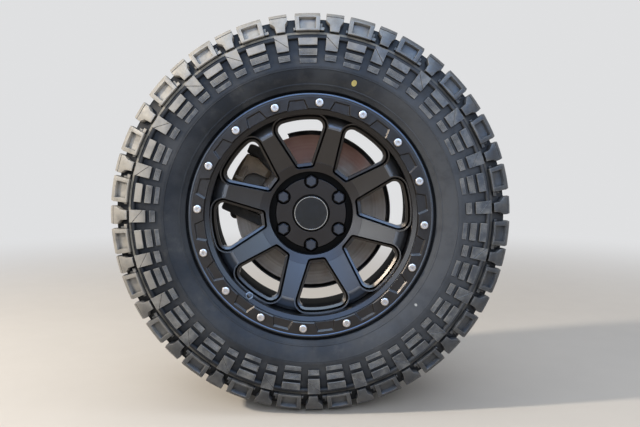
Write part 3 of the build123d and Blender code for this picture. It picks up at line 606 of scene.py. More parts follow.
    def sunlit_ridge_share(self, where: Socket) -> Socket:
        """Where painted sunlight lies on the low ridge, mostly on the sunlit side of the tyre.

        Args:
            where: Object coordinates.

        Returns:
            The share.
        """
        cloud = self.noise(where, 26.0, detail=4.0, rough=0.6)
        patch = self.span(cloud, 0.35, 0.6, out_low=0.45, out_high=0.95)
        on_ridge = self.band(self.radius(where), *self.finish.ridge)
        # The side of the tyre that the painted sunlight is turned to
        dusty = self.span(self.towards(where, Finish.lit_side), -0.1, 0.6, out_low=0.25)
        return self.product(patch, on_ridge, dusty)

    def worn_and_lit_edges(self, where: Socket) -> Socket:
        """Edges lightened as rubbing and painted highlight, by how far a rounded normal leaves the true one.

        Args:
            where: Object coordinates.

        Returns:
            The share, up to the finish's own.
        """
        true_normal = self.node("NewGeometry").outputs["True Normal"]
        flatness = self.agreement(self.rounded(self.finish.wear_and_highlight_reach, 6), true_normal)
        edge = self.span(flatness, *self.WORN_AND_LIT_EDGE)
        cloud = self.noise(where, 90.0, detail=4.0, rough=0.7)
        broken = self.span(cloud, 0.35, 0.6, out_low=0.35)
        return self.product(edge, broken, self.finish.wear_and_highlight_share)

    def window_shade_share(self, where: Socket) -> Socket:
        """Where the steep walls of the windows get painted shade, by their depth below the dished face.

        Args:
            where: Object coordinates.

        Returns:
            The share of painted shade, 1 on the walls.
        """
        x, y, z = self.parts(where)
        clock = self.math("SUBTRACT", self.math("ARCTAN2", x, z), math.radians(WINDOW_CLOCK))
        half = math.pi / SPOKE_COUNT
        aside = self.math("WRAP", clock, half, -half)
        along = self.product(self.radius(where), self.math("COSINE", aside))
        depth = self.math("SUBTRACT", self.math("MULTIPLY_ADD", along, DISH_SLOPE, y), DISH_APEX)
        wall = self.band(depth, *self.finish.window_shade)
        if self.finish.inner_y is None:
            wall = self.math("MAXIMUM", wall, self.span(depth, *self.WINDOW_FLOOR))
        return self.product(wall, self.span(self.radius(where), *self.WINDOW_FOOT))

    def shaded(self, colour: Socket) -> Socket:
        """Paints shade into tight hollows, darker where a place is less open.

        Args:
            colour: the colour so far.

        Returns:
            The colour with painted shade in the hollows.
        """
        open_share = self.node("AmbientOcclusion", samples=8)
        self.feed(open_share.inputs["Distance"], self.finish.hollow_reach)
        shade = self.span(open_share.outputs["AO"], *self.HOLLOW, out_low=self.finish.hollow_shade)
        return self.mix(1.0, colour, shade, "MULTIPLY")

    def inside(self, where: Socket, colour: Socket, rough: Socket) -> tuple[Socket, Socket, Socket]:
        """Changes to a dull undercoat behind a plane across the axle, kept nearly black as painted shade.

        Args:
            where: Object coordinates.
            colour: the colour so far.
            rough: the roughness so far.

        Returns:
            The colour, roughness and metallic share.
        """
        start = self.finish.inner_y
        behind = self.span(self.parts(where)[1], start, start + self.UNDERCOAT_RUN)
        streaks = self.span(self.noise(where, 24.0, detail=5.0, rough=0.65), 0.45, 0.75)
        colour = self.mix(behind, colour, self.mix(streaks, *self.SHADED_UNDERCOATS))
        metallic = self.product(self.math("SUBTRACT", 1.0, behind), self.finish.metallic)
        return colour, self.rougher(rough, behind, self.UNDERCOAT_ROUGHNESS), metallic

    def turned(self, where: Socket, colour: Socket, normal: Socket,
               rough: Socket) -> tuple[Socket, Socket, Socket]:
        """Fine rings round the axle, as pads and a lathe leave them, and rust towards the top.

        Args:
            where: Object coordinates.
            colour: the colour so far.
            normal: the normal so far.
            rough: the roughness so far.

        Returns:
            The colour, normal and roughness with the rings in them.
        """
        ring = self.node("CombineXYZ")
        self.feed(ring.inputs[0], self.radius(where))
        lines = self.noise(ring.outputs[0], 1400.0, rough=0.7)
        bands = self.noise(ring.outputs[0], 160.0, detail=2.0)
        share = self.span(self.math("ADD", lines, bands), 0.8, 1.2, out_high=0.55)
        darker = self.mix(share, colour, tuple(part * self.RING_SHADE for part in self.finish.colour))
        cloud = self.noise(where, 16.0, detail=5.0, rough=0.6)
        height = self.math("MULTIPLY_ADD", cloud, 0.12, self.parts(where)[2])
        rust = self.product(self.span(height, *self.RUST_HEIGHT), self.RUST_SHARE)
        normal = self.bump(lines, self.RING_DEPTH, normal)
        rough = self.rougher(rough, share, self.RING_ROUGHNESS)
        return self.mix(rust, darker, self.RUST), normal, rough


# Depths below the dished face between which the frame of a window gets painted shade
WINDOW_FRAME_SHADE: Range = (0.0016, 0.0068)

# Sidewall rubber: painted light on its right side, painted shade on its outer part and in tight hollows,
# painted sunlight on the low ridge.
SIDEWALL_RUBBER = Finish("sidewall_rubber", (0.019, 0.0205, 0.0235), (0.040, 0.0415, 0.0445), 11.0, 0.26,
                         roughness=(0.52, 0.68), grain_scale=1500.0, grain_depth=0.00006,
                         wave_scale=60.0, wave_depth=0.0003, dust=(0.15, 0.14, 0.125), dust_share=0.26,
                         shade_from=0.322, ridge=(0.3672, 0.3715), hollow_reach=0.016,
                         hollow_shade=0.30, lit_side_share=0.85, lit_side=(0.99, 0.0, -0.06),
                         lit_side_colour=(0.066, 0.069, 0.075), lit_side_reach=(0.245, 0.262),
                         specular=0.14)
# Tread rubber: painted sunlight on its upper-left quarter, edges lightened as rubbing and painted highlight,
# painted shade in tight hollows.
TREAD_RUBBER = Finish("tread_rubber", (0.030, 0.031, 0.034), (0.050, 0.051, 0.053), 14.0, 0.4,
                      roughness=(0.42, 0.64), grain_scale=1100.0, grain_depth=0.00008,
                      wave_scale=120.0, wave_depth=0.0003, dust=(0.27, 0.26, 0.235), dust_share=0.66,
                      wear_and_highlight=(0.20, 0.19, 0.175), wear_and_highlight_share=0.75, wear_and_highlight_reach=0.0016,
                      hollow_reach=0.010, hollow_shade=0.14, specular=0.4, lit_side_share=0.82,
                      pattern=Pattern.DUSTY_TREAD)
DOT_PAINT = Finish("dot_paint", (0.46, 0.38, 0.11), (0.36, 0.30, 0.10), 160.0, 0.4,
                   roughness=(0.6, 0.8), dust_share=0.3)
PALE_DOT_PAINT = Finish("pale_dot_paint", (0.35, 0.35, 0.33), (0.26, 0.26, 0.25), 160.0, 0.4,
                        roughness=(0.6, 0.8), dust_share=0.3)
# Wheel paint: tight hollows get painted shade.
WHEEL_PAINT = Finish("wheel_paint", (0.052, 0.047, 0.043), (0.058, 0.053, 0.049), 12.0, 0.6,
                     metallic=0.95, roughness=(0.28, 0.30), coat=0.05, coat_roughness=0.3,
                     grain_scale=2600.0, grain_depth=0.000008, dust=(0.12, 0.11, 0.095),
                     dust_share=0.06, edge_radius=0.0009, hollow_reach=0.005, hollow_shade=0.25)
# Spoke paint: painted shade on the windows' steep frames and on their deeper walls.
SPOKE_PAINT = replace(WHEEL_PAINT, name="spoke_paint", window_shade=WINDOW_FRAME_SHADE)
# Hub paint: a black ring of painted shade in the recess round the pad, painted shade on the windows' frames
# and in tight hollows.
HUB_PAINT = replace(WHEEL_PAINT, name="hub_paint", colour=(0.040, 0.036, 0.034), mottle=(0.045, 0.041, 0.039),
                    window_shade=WINDOW_FRAME_SHADE, painted_shade_band=(0.0764, 0.0912), coat=0.0,
                    hollow_reach=0.007, hollow_shade=0.10)
# Barrel paint: painted shade on the windows' frames, and a dull undercoat inside, kept nearly black as
# painted shade.
BARREL_PAINT = replace(WHEEL_PAINT, name="barrel_paint", inner_y=-0.1640, hollow_reach=0.0,
                       window_shade=WINDOW_FRAME_SHADE, specular=0.05, coat=0.0)
# Lip bevel paint: the wheel's paint, darker as painted shade.
SHADED_LIP_PAINT = replace(WHEEL_PAINT, name="shaded_lip_paint", colour=(0.031, 0.028, 0.026), mottle=(0.035, 0.032, 0.030),
                    hollow_reach=0.0)
# Ring edge paint: the wheel's paint, lighter and bluer as a painted highlight.
RING_EDGE_HIGHLIGHT_PAINT = replace(WHEEL_PAINT, name="ring_edge_highlight_paint", colour=(0.058, 0.062, 0.070),
                          mottle=(0.064, 0.068, 0.076), hollow_reach=0.0, edge_radius=0.0)
# Spoke end paint: the wheel's paint, lighter and bluer as painted light.
SPOKE_END_LIT_PAINT = replace(WHEEL_PAINT, name="spoke_end_lit_paint", colour=(0.165, 0.172, 0.186),
                          mottle=(0.132, 0.135, 0.142), hollow_reach=0.0, dust_share=0.0)
# Clamp ring paint: lighter bluish edges as a painted highlight, painted shade in tight hollows.
RING_PAINT = Finish("ring_paint", (0.031, 0.027, 0.0245), (0.038, 0.034, 0.031), 25.0, 0.6,
                    metallic=0.9, roughness=(0.32, 0.40), coat=0.06, coat_roughness=0.35,
                    grain_scale=1800.0, grain_depth=0.00002, dust=(0.11, 0.10, 0.085),
                    dust_share=0.10, wear_and_highlight=(0.115, 0.118, 0.125), wear_and_highlight_share=0.9, wear_and_highlight_reach=0.0009,
                    edge_radius=0.0012, hollow_reach=0.008, hollow_shade=0.3)
BRIGHT_ZINC = Finish("bright_zinc", (0.53, 0.48, 0.445), (0.40, 0.365, 0.33), 220.0, 0.5, metallic=0.9,
                     roughness=(0.26, 0.42), grain_scale=2400.0, grain_depth=0.00003,
                     dust=(0.25, 0.21, 0.16), dust_share=0.25, edge_radius=0.0003)
NUT_BLACK = Finish("nut_black", (0.26, 0.28, 0.32), (0.32, 0.34, 0.38), 120.0, 0.5, metallic=0.9,
                   roughness=(0.26, 0.36), coat=0.2, grain_scale=2400.0, grain_depth=0.00002,
                   dust_share=0.12, edge_radius=0.0005, hollow_reach=0.006, hollow_shade=0.3)
BARE_STEEL = Finish("bare_steel", (0.36, 0.35, 0.33), (0.24, 0.20, 0.17), 60.0, 0.5, metallic=0.9,
                    roughness=(0.35, 0.55), dust_share=0.25, edge_radius=0.0004)
CAP_PLASTIC = Finish("cap_plastic", (0.012, 0.0115, 0.011), (0.016, 0.015, 0.014), 30.0, 0.5,
                     roughness=(0.30, 0.38), grain_scale=2800.0, grain_depth=0.000004, dust_share=0.10,
                     edge_radius=0.0010, specular=0.28)
CAP_TRIM = Finish("cap_trim_bright", (0.48, 0.47, 0.45), (0.40, 0.39, 0.37), 90.0, 0.5, metallic=1.0,
                  roughness=(0.14, 0.24), grain_depth=0.00001, dust_share=0.08, edge_radius=0.0002)
VALVE_METAL = Finish("valve_metal_bright", (0.17, 0.165, 0.16), (0.12, 0.115, 0.11), 200.0, 0.5,
                     metallic=0.95, roughness=(0.2, 0.34), dust_share=0.2, edge_radius=0.0003)
VALVE_CAP = Finish("valve_cap_plastic", (0.016, 0.016, 0.017), (0.022, 0.022, 0.023), 200.0, 0.5,
                   roughness=(0.4, 0.55), dust_share=0.15)
DISC_IRON = Finish("disc_iron_swept", (0.49, 0.42, 0.355), (0.38, 0.31, 0.25), 9.0, 0.5,
                   metallic=0.25, roughness=(0.42, 0.58), grain_scale=1600.0, grain_depth=0.00003,
                   dust=(0.30, 0.14, 0.075), dust_share=0.35, edge_radius=0.0004, pattern=Pattern.TURNED)
FORGED = Finish("forged_steel_dull", (0.13, 0.115, 0.10), (0.17, 0.105, 0.065), 26.0, 0.4,
                metallic=0.3, roughness=(0.6, 0.8), grain_scale=700.0, grain_depth=0.0002,
                dust_share=0.35, edge_radius=0.0008, pattern=Pattern.CAST)
BRACKET_IRON = Finish("bracket_iron_dark", (0.030, 0.029, 0.028), (0.055, 0.045, 0.036), 30.0, 0.45,
                      metallic=0.2, roughness=(0.6, 0.8), grain_scale=700.0, grain_depth=0.0002,
                      dust_share=0.25, edge_radius=0.0012, pattern=Pattern.CAST)
CALIPER_PLATE = Finish("caliper_plating", (0.175, 0.122, 0.070), (0.110, 0.075, 0.045), 24.0, 0.5,
                       metallic=0.35, roughness=(0.5, 0.68), grain_scale=800.0, grain_depth=0.00016,
                       dust=(0.24, 0.19, 0.13), dust_share=0.35, edge_radius=0.0014,
                       pattern=Pattern.CAST)
SHIELD_SHEET = Finish("shield_sheet", (0.040, 0.038, 0.036), (0.060, 0.050, 0.042), 16.0, 0.5,
                      metallic=0.1, roughness=(0.55, 0.75), wave_scale=25.0, wave_depth=0.0006,
                      dust_share=0.4, edge_radius=0.0004)
LINING = Finish("pad_lining_grey", (0.085, 0.078, 0.070), (0.13, 0.11, 0.09), 300.0, 0.5,
                roughness=(0.8, 0.95), grain_scale=900.0, grain_depth=0.0003, dust_share=0.3)
BOOT_RUBBER = Finish("boot_rubber_black", (0.022, 0.022, 0.023), (0.03, 0.03, 0.031), 80.0, 0.5,
                     roughness=(0.55, 0.7), dust_share=0.3)

NODE_FINISHES: dict[str, Finish] = {
    "wheel_hub": HUB_PAINT,
    "wheel_spokes": SPOKE_PAINT,
    "wheel_barrel": BARREL_PAINT,
    "clamp_ring": RING_PAINT,
    "ring_bolts": BRIGHT_ZINC,
    "valve_stem": VALVE_METAL,
    "lug_nuts": NUT_BLACK,
    "wheel_studs": BARE_STEEL,
    "centre_cap": CAP_PLASTIC,
    "cap_trim_ring": CAP_TRIM,
    "hub_flange": FORGED,
    "brake_disc": DISC_IRON,
    "bearing_housing": FORGED,
    "hub_bearing": BARE_STEEL,
    "dust_shield": SHIELD_SHEET,
    "caliper_bracket": BRACKET_IRON,
    "bracket_bolts": BARE_STEEL,
    "caliper_body": CALIPER_PLATE,
    "caliper_piston": BARE_STEEL,
    "brake_pad_outer": LINING,
    "brake_pad_inner": LINING,
    "guide_pins": BARE_STEEL,
    "guide_boots": BOOT_RUBBER,
}


# Mesh helpers


def added_verts(made: dict) -> list[bmesh.types.BMVert]:
    """The vertices among what an operator made."""
    return [item for item in made["geom"] if isinstance(item, bmesh.types.BMVert)]


def as_data(name: str, mesh: Mesh) -> bpy.types.Mesh:
    """Turns a bmesh into mesh data.

    Args:
        name: the data's name.
        mesh: the shape, freed here.

    Returns:
        The data.
    """
    data = bpy.data.meshes.new(name)
    mesh.to_mesh(data)
    mesh.free()
    return data


def linked(name: str, data: bpy.types.ID) -> bpy.types.Object:
    """A new object in the scene.

    Args:
        name: its name.
        data: its mesh, light or camera.

    Returns:
        The object.
    """
    made = bpy.data.objects.new(name, data)
    bpy.context.scene.collection.objects.link(made)
    return made


def split(mesh: Mesh, place: Vector, direction: Vector) -> None:
    """Cuts a mesh by one plane and keeps both sides.

    Args:
        mesh: what is cut.
        place: a point of the plane.
        direction: square to the plane.
    """
    whole = mesh.verts[:] + mesh.edges[:] + mesh.faces[:]
    bmesh.ops.bisect_plane(mesh, geom=whole, dist=TOUCHING, plane_co=place, plane_no=direction)


def cut(mesh: Mesh, axis: int, *places: float) -> None:
    """Cuts a mesh by planes square to one axis.

    Args:
        mesh: what is cut.
        axis: 0, 1 or 2.
        places: where each plane stands.
    """
    direction = Vector((axis == 0, axis == 1, axis == 2))
    for place in places:
        split(mesh, direction * place, direction)


def top_faces(mesh: Mesh) -> Faces:
    """The faces that lie in the top of a block, at z = 0."""
    return [face for face in mesh.faces
            if face.normal.z > 0.5 and abs(face.calc_center_median().z) < TOUCHING]


def press(mesh: Mesh, faces: Faces, move: Matrix) -> None:
    """Moves some faces and leaves walls round them.

    Args:
        mesh: what they are part of.
        faces: the faces, which new ones take the place of.
        move: how the new ones are moved.
    """
    raised = bmesh.ops.extrude_face_region(mesh, geom=faces)
    bmesh.ops.transform(mesh, matrix=move, verts=added_verts(raised))
    bmesh.ops.delete(mesh, geom=[face for face in faces if face.is_valid], context="FACES")
    mesh.normal_update()


def sink(mesh: Mesh, low: Point, high: Point, depth: float, draft: float = 0.0) -> None:
    """Presses a rectangle of a flat top down, with walls round it.

    Args:
        mesh: a block whose top is at z = 0.
        low: the rectangle's lowest x and y.
        high: its highest x and y.
        depth: how far it goes down.
        draft: how far the walls lean in.
    """
    cut(mesh, 0, low[0], high[0])
    cut(mesh, 1, low[1], high[1])
    chosen = []
    for face in top_faces(mesh):
        spot = face.calc_center_median()
        if low[0] < spot.x < high[0] and low[1] < spot.y < high[1]:
            chosen.append(face)
    middle = Vector(((low[0] + high[0]) / 2, (low[1] + high[1]) / 2, 0))
    shrink = Matrix.Diagonal((1 - 2 * draft / (high[0] - low[0]), 1 - 2 * draft / (high[1] - low[1]), 1, 1))
    down = Matrix.Translation(middle - Vector((0, 0, depth)))
    press(mesh, chosen, down @ shrink @ Matrix.Translation(-middle))


def block(outline: Sequence[Point], depth: float) -> Mesh:
    """A prism with its top at z = 0.

    Args:
        outline: corners of the top, anticlockwise.
        depth: how far the prism goes down.

    Returns:
        The prism, closed.
    """
    mesh = bmesh.new()
    top = mesh.faces.new([mesh.verts.new((x, y, 0)) for x, y in outline])
    walls = bmesh.ops.extrude_face_region(mesh, geom=[top])
    bmesh.ops.translate(mesh, verts=added_verts(walls), vec=(0, 0, -depth))
    bmesh.ops.recalc_face_normals(mesh, faces=mesh.faces[:])
    mesh.normal_update()
    return mesh


def bevel(mesh: Mesh, edges: list[bmesh.types.BMEdge], width: float, segments: int) -> None:
    """Rounds some edges.

    Args:
        mesh: what they are part of.
        edges: the edges.
        width: width of the rounding.
        segments: steps across it.
    """
    bmesh.ops.bevel(mesh, geom=edges, offset=width, affect="EDGES", segments=segments, profile=0.5,
                    material=-1, clamp_overlap=True)


def soften(mesh: Mesh, width: float, floor: float, segments: int = 2) -> None:
    """Rounds the sharp edges above a height.

    Args:
        mesh: what is rounded.
        width: width of the rounding.
        floor: edges wholly below this z stay sharp.
        segments: steps across the rounding.
    """
    sharp = [
        edge
        for edge in mesh.edges
        if len(edge.link_faces) == 2
        and edge.calc_face_angle(0.0) > ROUNDED_ANGLE
        and max(vert.co.z for vert in edge.verts) > floor
    ]
    bevel(mesh, sharp, width, segments)
    bmesh.ops.dissolve_degenerate(mesh, dist=SLIVER, edges=mesh.edges[:])


def spun(profile: Sequence[Triple], axis: Triple, steps: int, closed: bool = True) -> Mesh:
    """Turns a profile all the way round an axis through the origin.

    Args:
        profile: its points in order, in a plane through the axis.
        axis: the axis.
        steps: how many steps a full turn has.
        closed: whether the last point is joined to the first; otherwise both lie on the axis.

    Returns:
        The closed shape.
    """
    mesh = bmesh.new()
    line = [mesh.verts.new(place) for place in profile]
    following = line[1:] + line[:1] if closed else line[1:]
    edges = [mesh.edges.new(pair) for pair in zip(line, following)]
    bmesh.ops.spin(mesh, geom=line + edges, cent=(0, 0, 0), axis=axis, dvec=(0, 0, 0), angle=math.tau,
                   steps=steps, use_merge=True, use_duplicate=False)
    bmesh.ops.remove_doubles(mesh, verts=mesh.verts[:], dist=TOUCHING)
    bmesh.ops.recalc_face_normals(mesh, faces=mesh.faces[:])
    return mesh


def lathed(profile: Sequence[Point], steps: int) -> Mesh:
    """Turns a closed profile of (radius, y) points round the axle."""
    return spun([(0, y, radius) for radius, y in profile], (0, 1, 0), steps)


def copied_round(unit: Mesh, degrees: Iterable[float]) -> Mesh:
    """Copies one shape round the axle.

    Args:
        unit: the shape at clock angle 0, freed here.
        degrees: clock angle of each copy.

    Returns:
        All the copies in one mesh.
    """
    seed = as_data("seed", unit)
    ring = bmesh.new()
    for angle in degrees:
        before = len(ring.verts)
        ring.from_mesh(seed)
        ring.verts.ensure_lookup_table()
        turn = Matrix.Rotation(math.radians(angle), 3, "Y")
        bmesh.ops.rotate(ring, cent=(0, 0, 0), matrix=turn, verts=ring.verts[before:])
    bpy.data.meshes.remove(seed)
    return ring


def carve(mesh: Mesh, cutter: Mesh) -> Mesh:
    """Takes one closed shape away from another.

    Args:
        mesh: what is cut, freed here.
        cutter: the shape taken away, freed here.

    Returns:
        What is left.
    """
    carved = linked("carved", as_data("carved", mesh))
    tool = linked("cutter", as_data("cutter", cutter))
    cut_away = carved.modifiers.new("cut", "BOOLEAN")
    cut_away.object = tool
    cut_away.operation = "DIFFERENCE"
    cut_away.solver = "EXACT"
    bpy.context.view_layer.update()
    result = bpy.data.meshes.new_from_object(carved.evaluated_get(bpy.context.evaluated_depsgraph_get()))
    left = bmesh.new()
    left.from_mesh(result)
    for spent in (carved.data, tool.data, result):
        bpy.data.meshes.remove(spent)
    return left


def finished(mesh: Mesh, name: str, finish: Finish, body: Body) -> bpy.types.Object:
    """Turns a bmesh into a piece on a body, smooth between sharp edges.

    Args:
        mesh: the shape, freed here.
        name: the piece's name.
        finish: its finish.
        body: what it rides on.

    Returns:
        The new object.
    """
    for face in mesh.faces:
        face.smooth = True
    data = as_data(name, mesh)
    data.set_sharp_from_angle(angle=SHARP_ANGLE)
    data.materials.append(finish.material())
    piece = linked(name, data)
    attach(piece, body.value)
    log.info("%s: %d faces", name, len(data.polygons))
    return piece


# Tyre


@dataclass
class Tyre:
    """Carcass with its tread and side blocks.

    Flat block shapes are drawn in x along the circumference at the outer radius, y along the
    outline from the crown's middle, and z out of the surface.

    Attributes:
        outer_radius: at the crown's middle.
        crown_half: half the width of the crown.
        crown_drop: how much lower its edges are than its middle.
        corner: where the crown's edge turns down, as (radius, y from the centre plane).
        shoulder: where the sidewall starts.
        widest: where the sidewall is widest.
        guard: where it ends at the rim.
        ground: depth of the ground between the blocks, by radius, from the crown to the rim.
        bead: the outline from the ground's end round the bead.
        lining: the outline inside, up to the crown.
        lug_degrees: clock angle of each wide lug.
        inboard_shift: how far the inboard side is turned against the street side, in degrees.
        root: how far the blocks reach into the ground.
        block_depth: how thick the blocks of the tread are drawn.
        block_foot: edges of those blocks that are wholly below this stay sharp.
        crown_cuts: where the crown's blocks are cut across, so that they bend.
        crown_slit: depth of the slits in the crown's blocks.
        lug_slit: depth of the slits in the lugs.
        nub_depth: how thick the small steps between the lugs are drawn.
        low_edge: edges of low blocks that are wholly this far below their top stay sharp.
        side_depth: how thick the side blocks are drawn.
        rib_size: depth and half width of the grooves across a side block.
        rib_share: how much of its width they cross.
        crease_slant: square to the crease in a side block.
        crease_half: half the crease's width.
        crease_depth: its depth.
        dot_height: how thick the paint of a dot is.
        dot_stretch: how much longer than wide a dot is.
        dot_sides: how many sides it has.
        crown_share: the part of the crown, from its middle, where no radius is looked for.
        crown_steps: steps of the outline from the crown's middle to its edge.
        wall_steps: steps of each half of the sidewall.
        ground_steps: steps of the carcass along the outline.
        steps: steps of the carcass round the axle.
        outline: the outer outline, as (distance, radius, y from the centre plane).
        knots: the ground as (distance along the outline, depth).
    """

    outer_radius: float = 0.4165
    crown_half: float = 0.122
    crown_drop: float = 0.0035
    corner: Point = (0.4045, 0.137)
    shoulder: Point = (0.378, 0.150)
    widest: Point = (0.318, 0.158)
    guard: Point = (0.258, 0.136)
    ground: tuple[Point, ...] = (
        (0.3980, 0.0130), (0.3780, 0.0105), (0.3668, 0.0085), (0.3650, 0.0075), (0.3634, 0.0012),
        (0.3624, 0.0002), (0.3590, 0.0002), (0.3580, 0.0012), (0.3566, 0.0062), (0.3300, 0.0052),
        (0.3120, 0.0030), (0.3020, 0.0), (0.3000, 0.0), (0.2993, -0.0008), (0.2980, -0.0008),
        (0.2973, 0.0), (0.2700, 0.0), (0.2692, -0.0009), (0.2668, -0.0009), (0.2660, 0.0),
    )
    bead: tuple[Point, ...] = (
        (0.2566, 0.1300), (0.2545, 0.1285), (0.2541, 0.1230), (0.2525, 0.1180), (0.2490, 0.1142),
        (0.2316, 0.1142), (0.2316, 0.0940),
    )
    lining: tuple[Point, ...] = (
        (0.2440, 0.0930), (0.2640, 0.1180), (0.2900, 0.1360), (0.3180, 0.1455), (0.3500, 0.1430),
        (0.3750, 0.1300), (0.3890, 0.1080), (0.3900, 0.0500),
    )
    lug_degrees: tuple[float, ...] = (
        -111.1, -97.1, -81.6, -66.7, -49.3, -33.5, -18.0, -1.0, 14.9, 30.5, 47.1, 62.8, 78.3, 95.0,
        109.4, 124.9, 140.4, 155.9, 171.4, 186.9, 202.4, 217.9, 233.4,
    )
    inboard_shift: float = 3.9
    root: float = 0.0015
    block_depth: float = 0.020
    block_foot: float = -0.012
    crown_cuts: tuple[float, ...] = (0.020, 0.040, 0.060)
    crown_slit: float = 0.0055
    lug_slit: float = 0.006
    nub_depth: float = 0.012
    low_edge: float = 0.004
    side_depth: float = 0.010
    rib_size: float = 0.0007
    rib_share: float = 0.86
    crease_slant: Triple = (0.60, -0.80, 0.0)
    crease_half: float = 0.0006
    crease_depth: float = 0.0010
    dot_height: float = 0.0004
    dot_stretch: float = 1.25
    dot_sides: int = 20
    crown_share: float = 0.9
    crown_steps: int = 24
    wall_steps: int = 15
    ground_steps: int = 46
    steps: int = 276
    outline: list[Triple] = field(init=False, default_factory=list)
    knots: list[Point] = field(init=False, default_factory=list)

    def __post_init__(self) -> None:
        """Walks the outer outline once, and sets the ground's depths along it."""
        points = []
        for step in range(self.crown_steps + 1):
            y = self.crown_half * step / self.crown_steps
            points.append((self.outer_radius - self.crown_drop * (y / self.crown_half) ** 2, y))
        points += [self.corner, self.shoulder]
        for start, end in ((self.shoulder[0], self.widest[0]), (self.widest[0], self.guard[0])):
            for step in range(1, self.wall_steps + 1):
                radius = start + (end - start) * step / self.wall_steps
                points.append((radius, self.wall_y(radius)))
        distance = 0.0
        last = points[0]
        for point in points:
            distance += math.dist(last, point)
            self.outline.append((distance, *point))
            last = point
        self.knots.append((0.0, self.ground[0][1]))
        self.knots += [(self.along(radius), depth) for radius, depth in self.ground]
        self.knots.append((distance, 0.0))

    def wall_y(self, radius: float) -> float:
        """The sidewall's outline, an arc on each side of its widest place.

        Args:
            radius: distance from the axle.

        Returns:
            Half the tyre's width there.
        """
        rise = radius - self.widest[0]
        if rise >= 0:
            drop = self.widest[1] - self.shoulder[1]
            span = self.shoulder[0] - self.widest[0]
        else:
            drop = self.widest[1] - self.guard[1]
            span = self.widest[0] - self.guard[0]
        arc = (span**2 + drop**2) / (2 * drop)
        return self.widest[1] - arc + math.sqrt(arc**2 - rise**2)

    def along(self, radius: float) -> float:
        """Finds a radius on the shoulder or sidewall.

        Args:
            radius: distance from the axle.

        Returns:
            Its distance along the outline.
        """
        for near, far in zip(self.outline, self.outline[1:]):
            falls = near[1] >= radius >= far[1] and near[1] > far[1]
            if falls and near[2] > self.crown_half * self.crown_share:
                share = (near[1] - radius) / (near[1] - far[1])
                return near[0] + share * (far[0] - near[0])
        return self.outline[-1][0]

    def spot(self, distance: float, height: float) -> Point:
        """A point at a height over the outline.

        Args:
            distance: along the outline from the crown's middle.
            height: out of the surface.

        Returns:
            Its radius and its y from the centre plane.
        """
        distance = min(distance, self.outline[-1][0])
        for near, far in zip(self.outline, self.outline[1:]):
            if far[0] >= distance:
                break
        share = (distance - near[0]) / (far[0] - near[0])
        run = Vector((far[1] - near[1], far[2] - near[2])).normalized()
        radius = near[1] + share * (far[1] - near[1])
        y = near[2] + share * (far[2] - near[2])
        return radius + run.y * height, y - run.x * height

    def groove(self, distance: float) -> float:
        """The ground between the blocks.

        Args:
            distance: along the outline from the crown's middle.

        Returns:
            Its depth under the outline there.
        """
        for near, far in zip(self.knots, self.knots[1:]):
            if distance <= far[0]:
                share = (distance - near[0]) / (far[0] - near[0])
                return near[1] + share * (far[1] - near[1])
        return 0.0

    def wrap(self, mesh: Mesh, side: Side, squeeze: float = 1.0) -> None:
        """Bends flat blocks round the tyre at clock angle 0.

        Args:
            mesh: blocks drawn flat.
            side: the side that positive y goes to.
            squeeze: factor on lengths round the circumference.
        """
        for vert in mesh.verts:
            where = side.value * (1 if vert.co.y >= 0 else -1)
            distance = abs(vert.co.y)
            height = max(vert.co.z, -self.groove(distance) - self.root)
            radius, y = self.spot(distance, height)
            angle = vert.co.x * squeeze / self.outer_radius
            vert.co = Vector((radius * math.sin(angle), TYRE_MIDDLE + where * y, radius * math.cos(angle)))
        bmesh.ops.recalc_face_normals(mesh, faces=mesh.faces[:])

    def middles(self) -> list[float]:
        """The places half way between one wide lug and the next.

        Returns:
            Their clock angles.
        """
        turns = [*self.lug_degrees, self.lug_degrees[0] + 360]
        return [(near + far) / 2 for near, far in zip(turns, turns[1:])]

    def carcass(self) -> None:
        """The closed body of the tyre, with the ground of its grooves, in the place of the frame's tyre."""
        reach = self.outline[-1][0]
        stops = {reach * step / self.ground_steps for step in range(self.ground_steps + 1)}
        stops |= {self.along(radius) for radius, _ in self.ground}
        crown, *flank = [self.spot(distance, -self.groove(distance)) for distance in sorted(stops)]
        flank += [*self.bead, *self.lining]
        other_flank = [(radius, -y) for radius, y in reversed(flank)]
        loop = [crown, *flank, (self.lining[-1][0], 0.0), *other_flank]
        mesh = lathed([(radius, TYRE_MIDDLE + y) for radius, y in loop], self.steps)
        piece = finished(mesh, "tyre_carcass", SIDEWALL_RUBBER, Body.WHEEL)
        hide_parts("tyre")

    def lug(self, outline: Sequence[Point]) -> Mesh:
        """A shoulder lug, cut across where the tyre's outline bends.

        Args:
            outline: its corners.

        Returns:
            The lug, flat and plain.
        """
        mesh = block(outline, self.block_depth)
        cut(mesh, 1, self.crown_half, self.along(self.corner[0]), self.along(self.shoulder[0]))
        return mesh

    def wide_lug(self) -> Mesh:
        """A wide shoulder lug with a rectangular pocket in its side and a slit in its head.

        Returns:
            The lug, flat.
        """
        foot = self.along(0.3745)
        mesh = self.lug([(-0.0258, 0.0985), (-0.006, 0.083), (0.0165, 0.083), (0.0258, 0.098),
                         (0.0258, 0.1205), (0.0268, 0.139), (0.0262, foot), (-0.0262, foot),
                         (-0.0268, 0.139), (-0.0258, 0.1205)])
        sink(mesh, (-0.0178, self.along(0.4025)), (0.0178, self.along(0.3782)), depth=0.0078, draft=0.0012)
        sink(mesh, (-0.0012, 0.088), (0.0002, 0.112), depth=self.lug_slit)
        soften(mesh, width=0.0011, floor=self.block_foot)
        return mesh

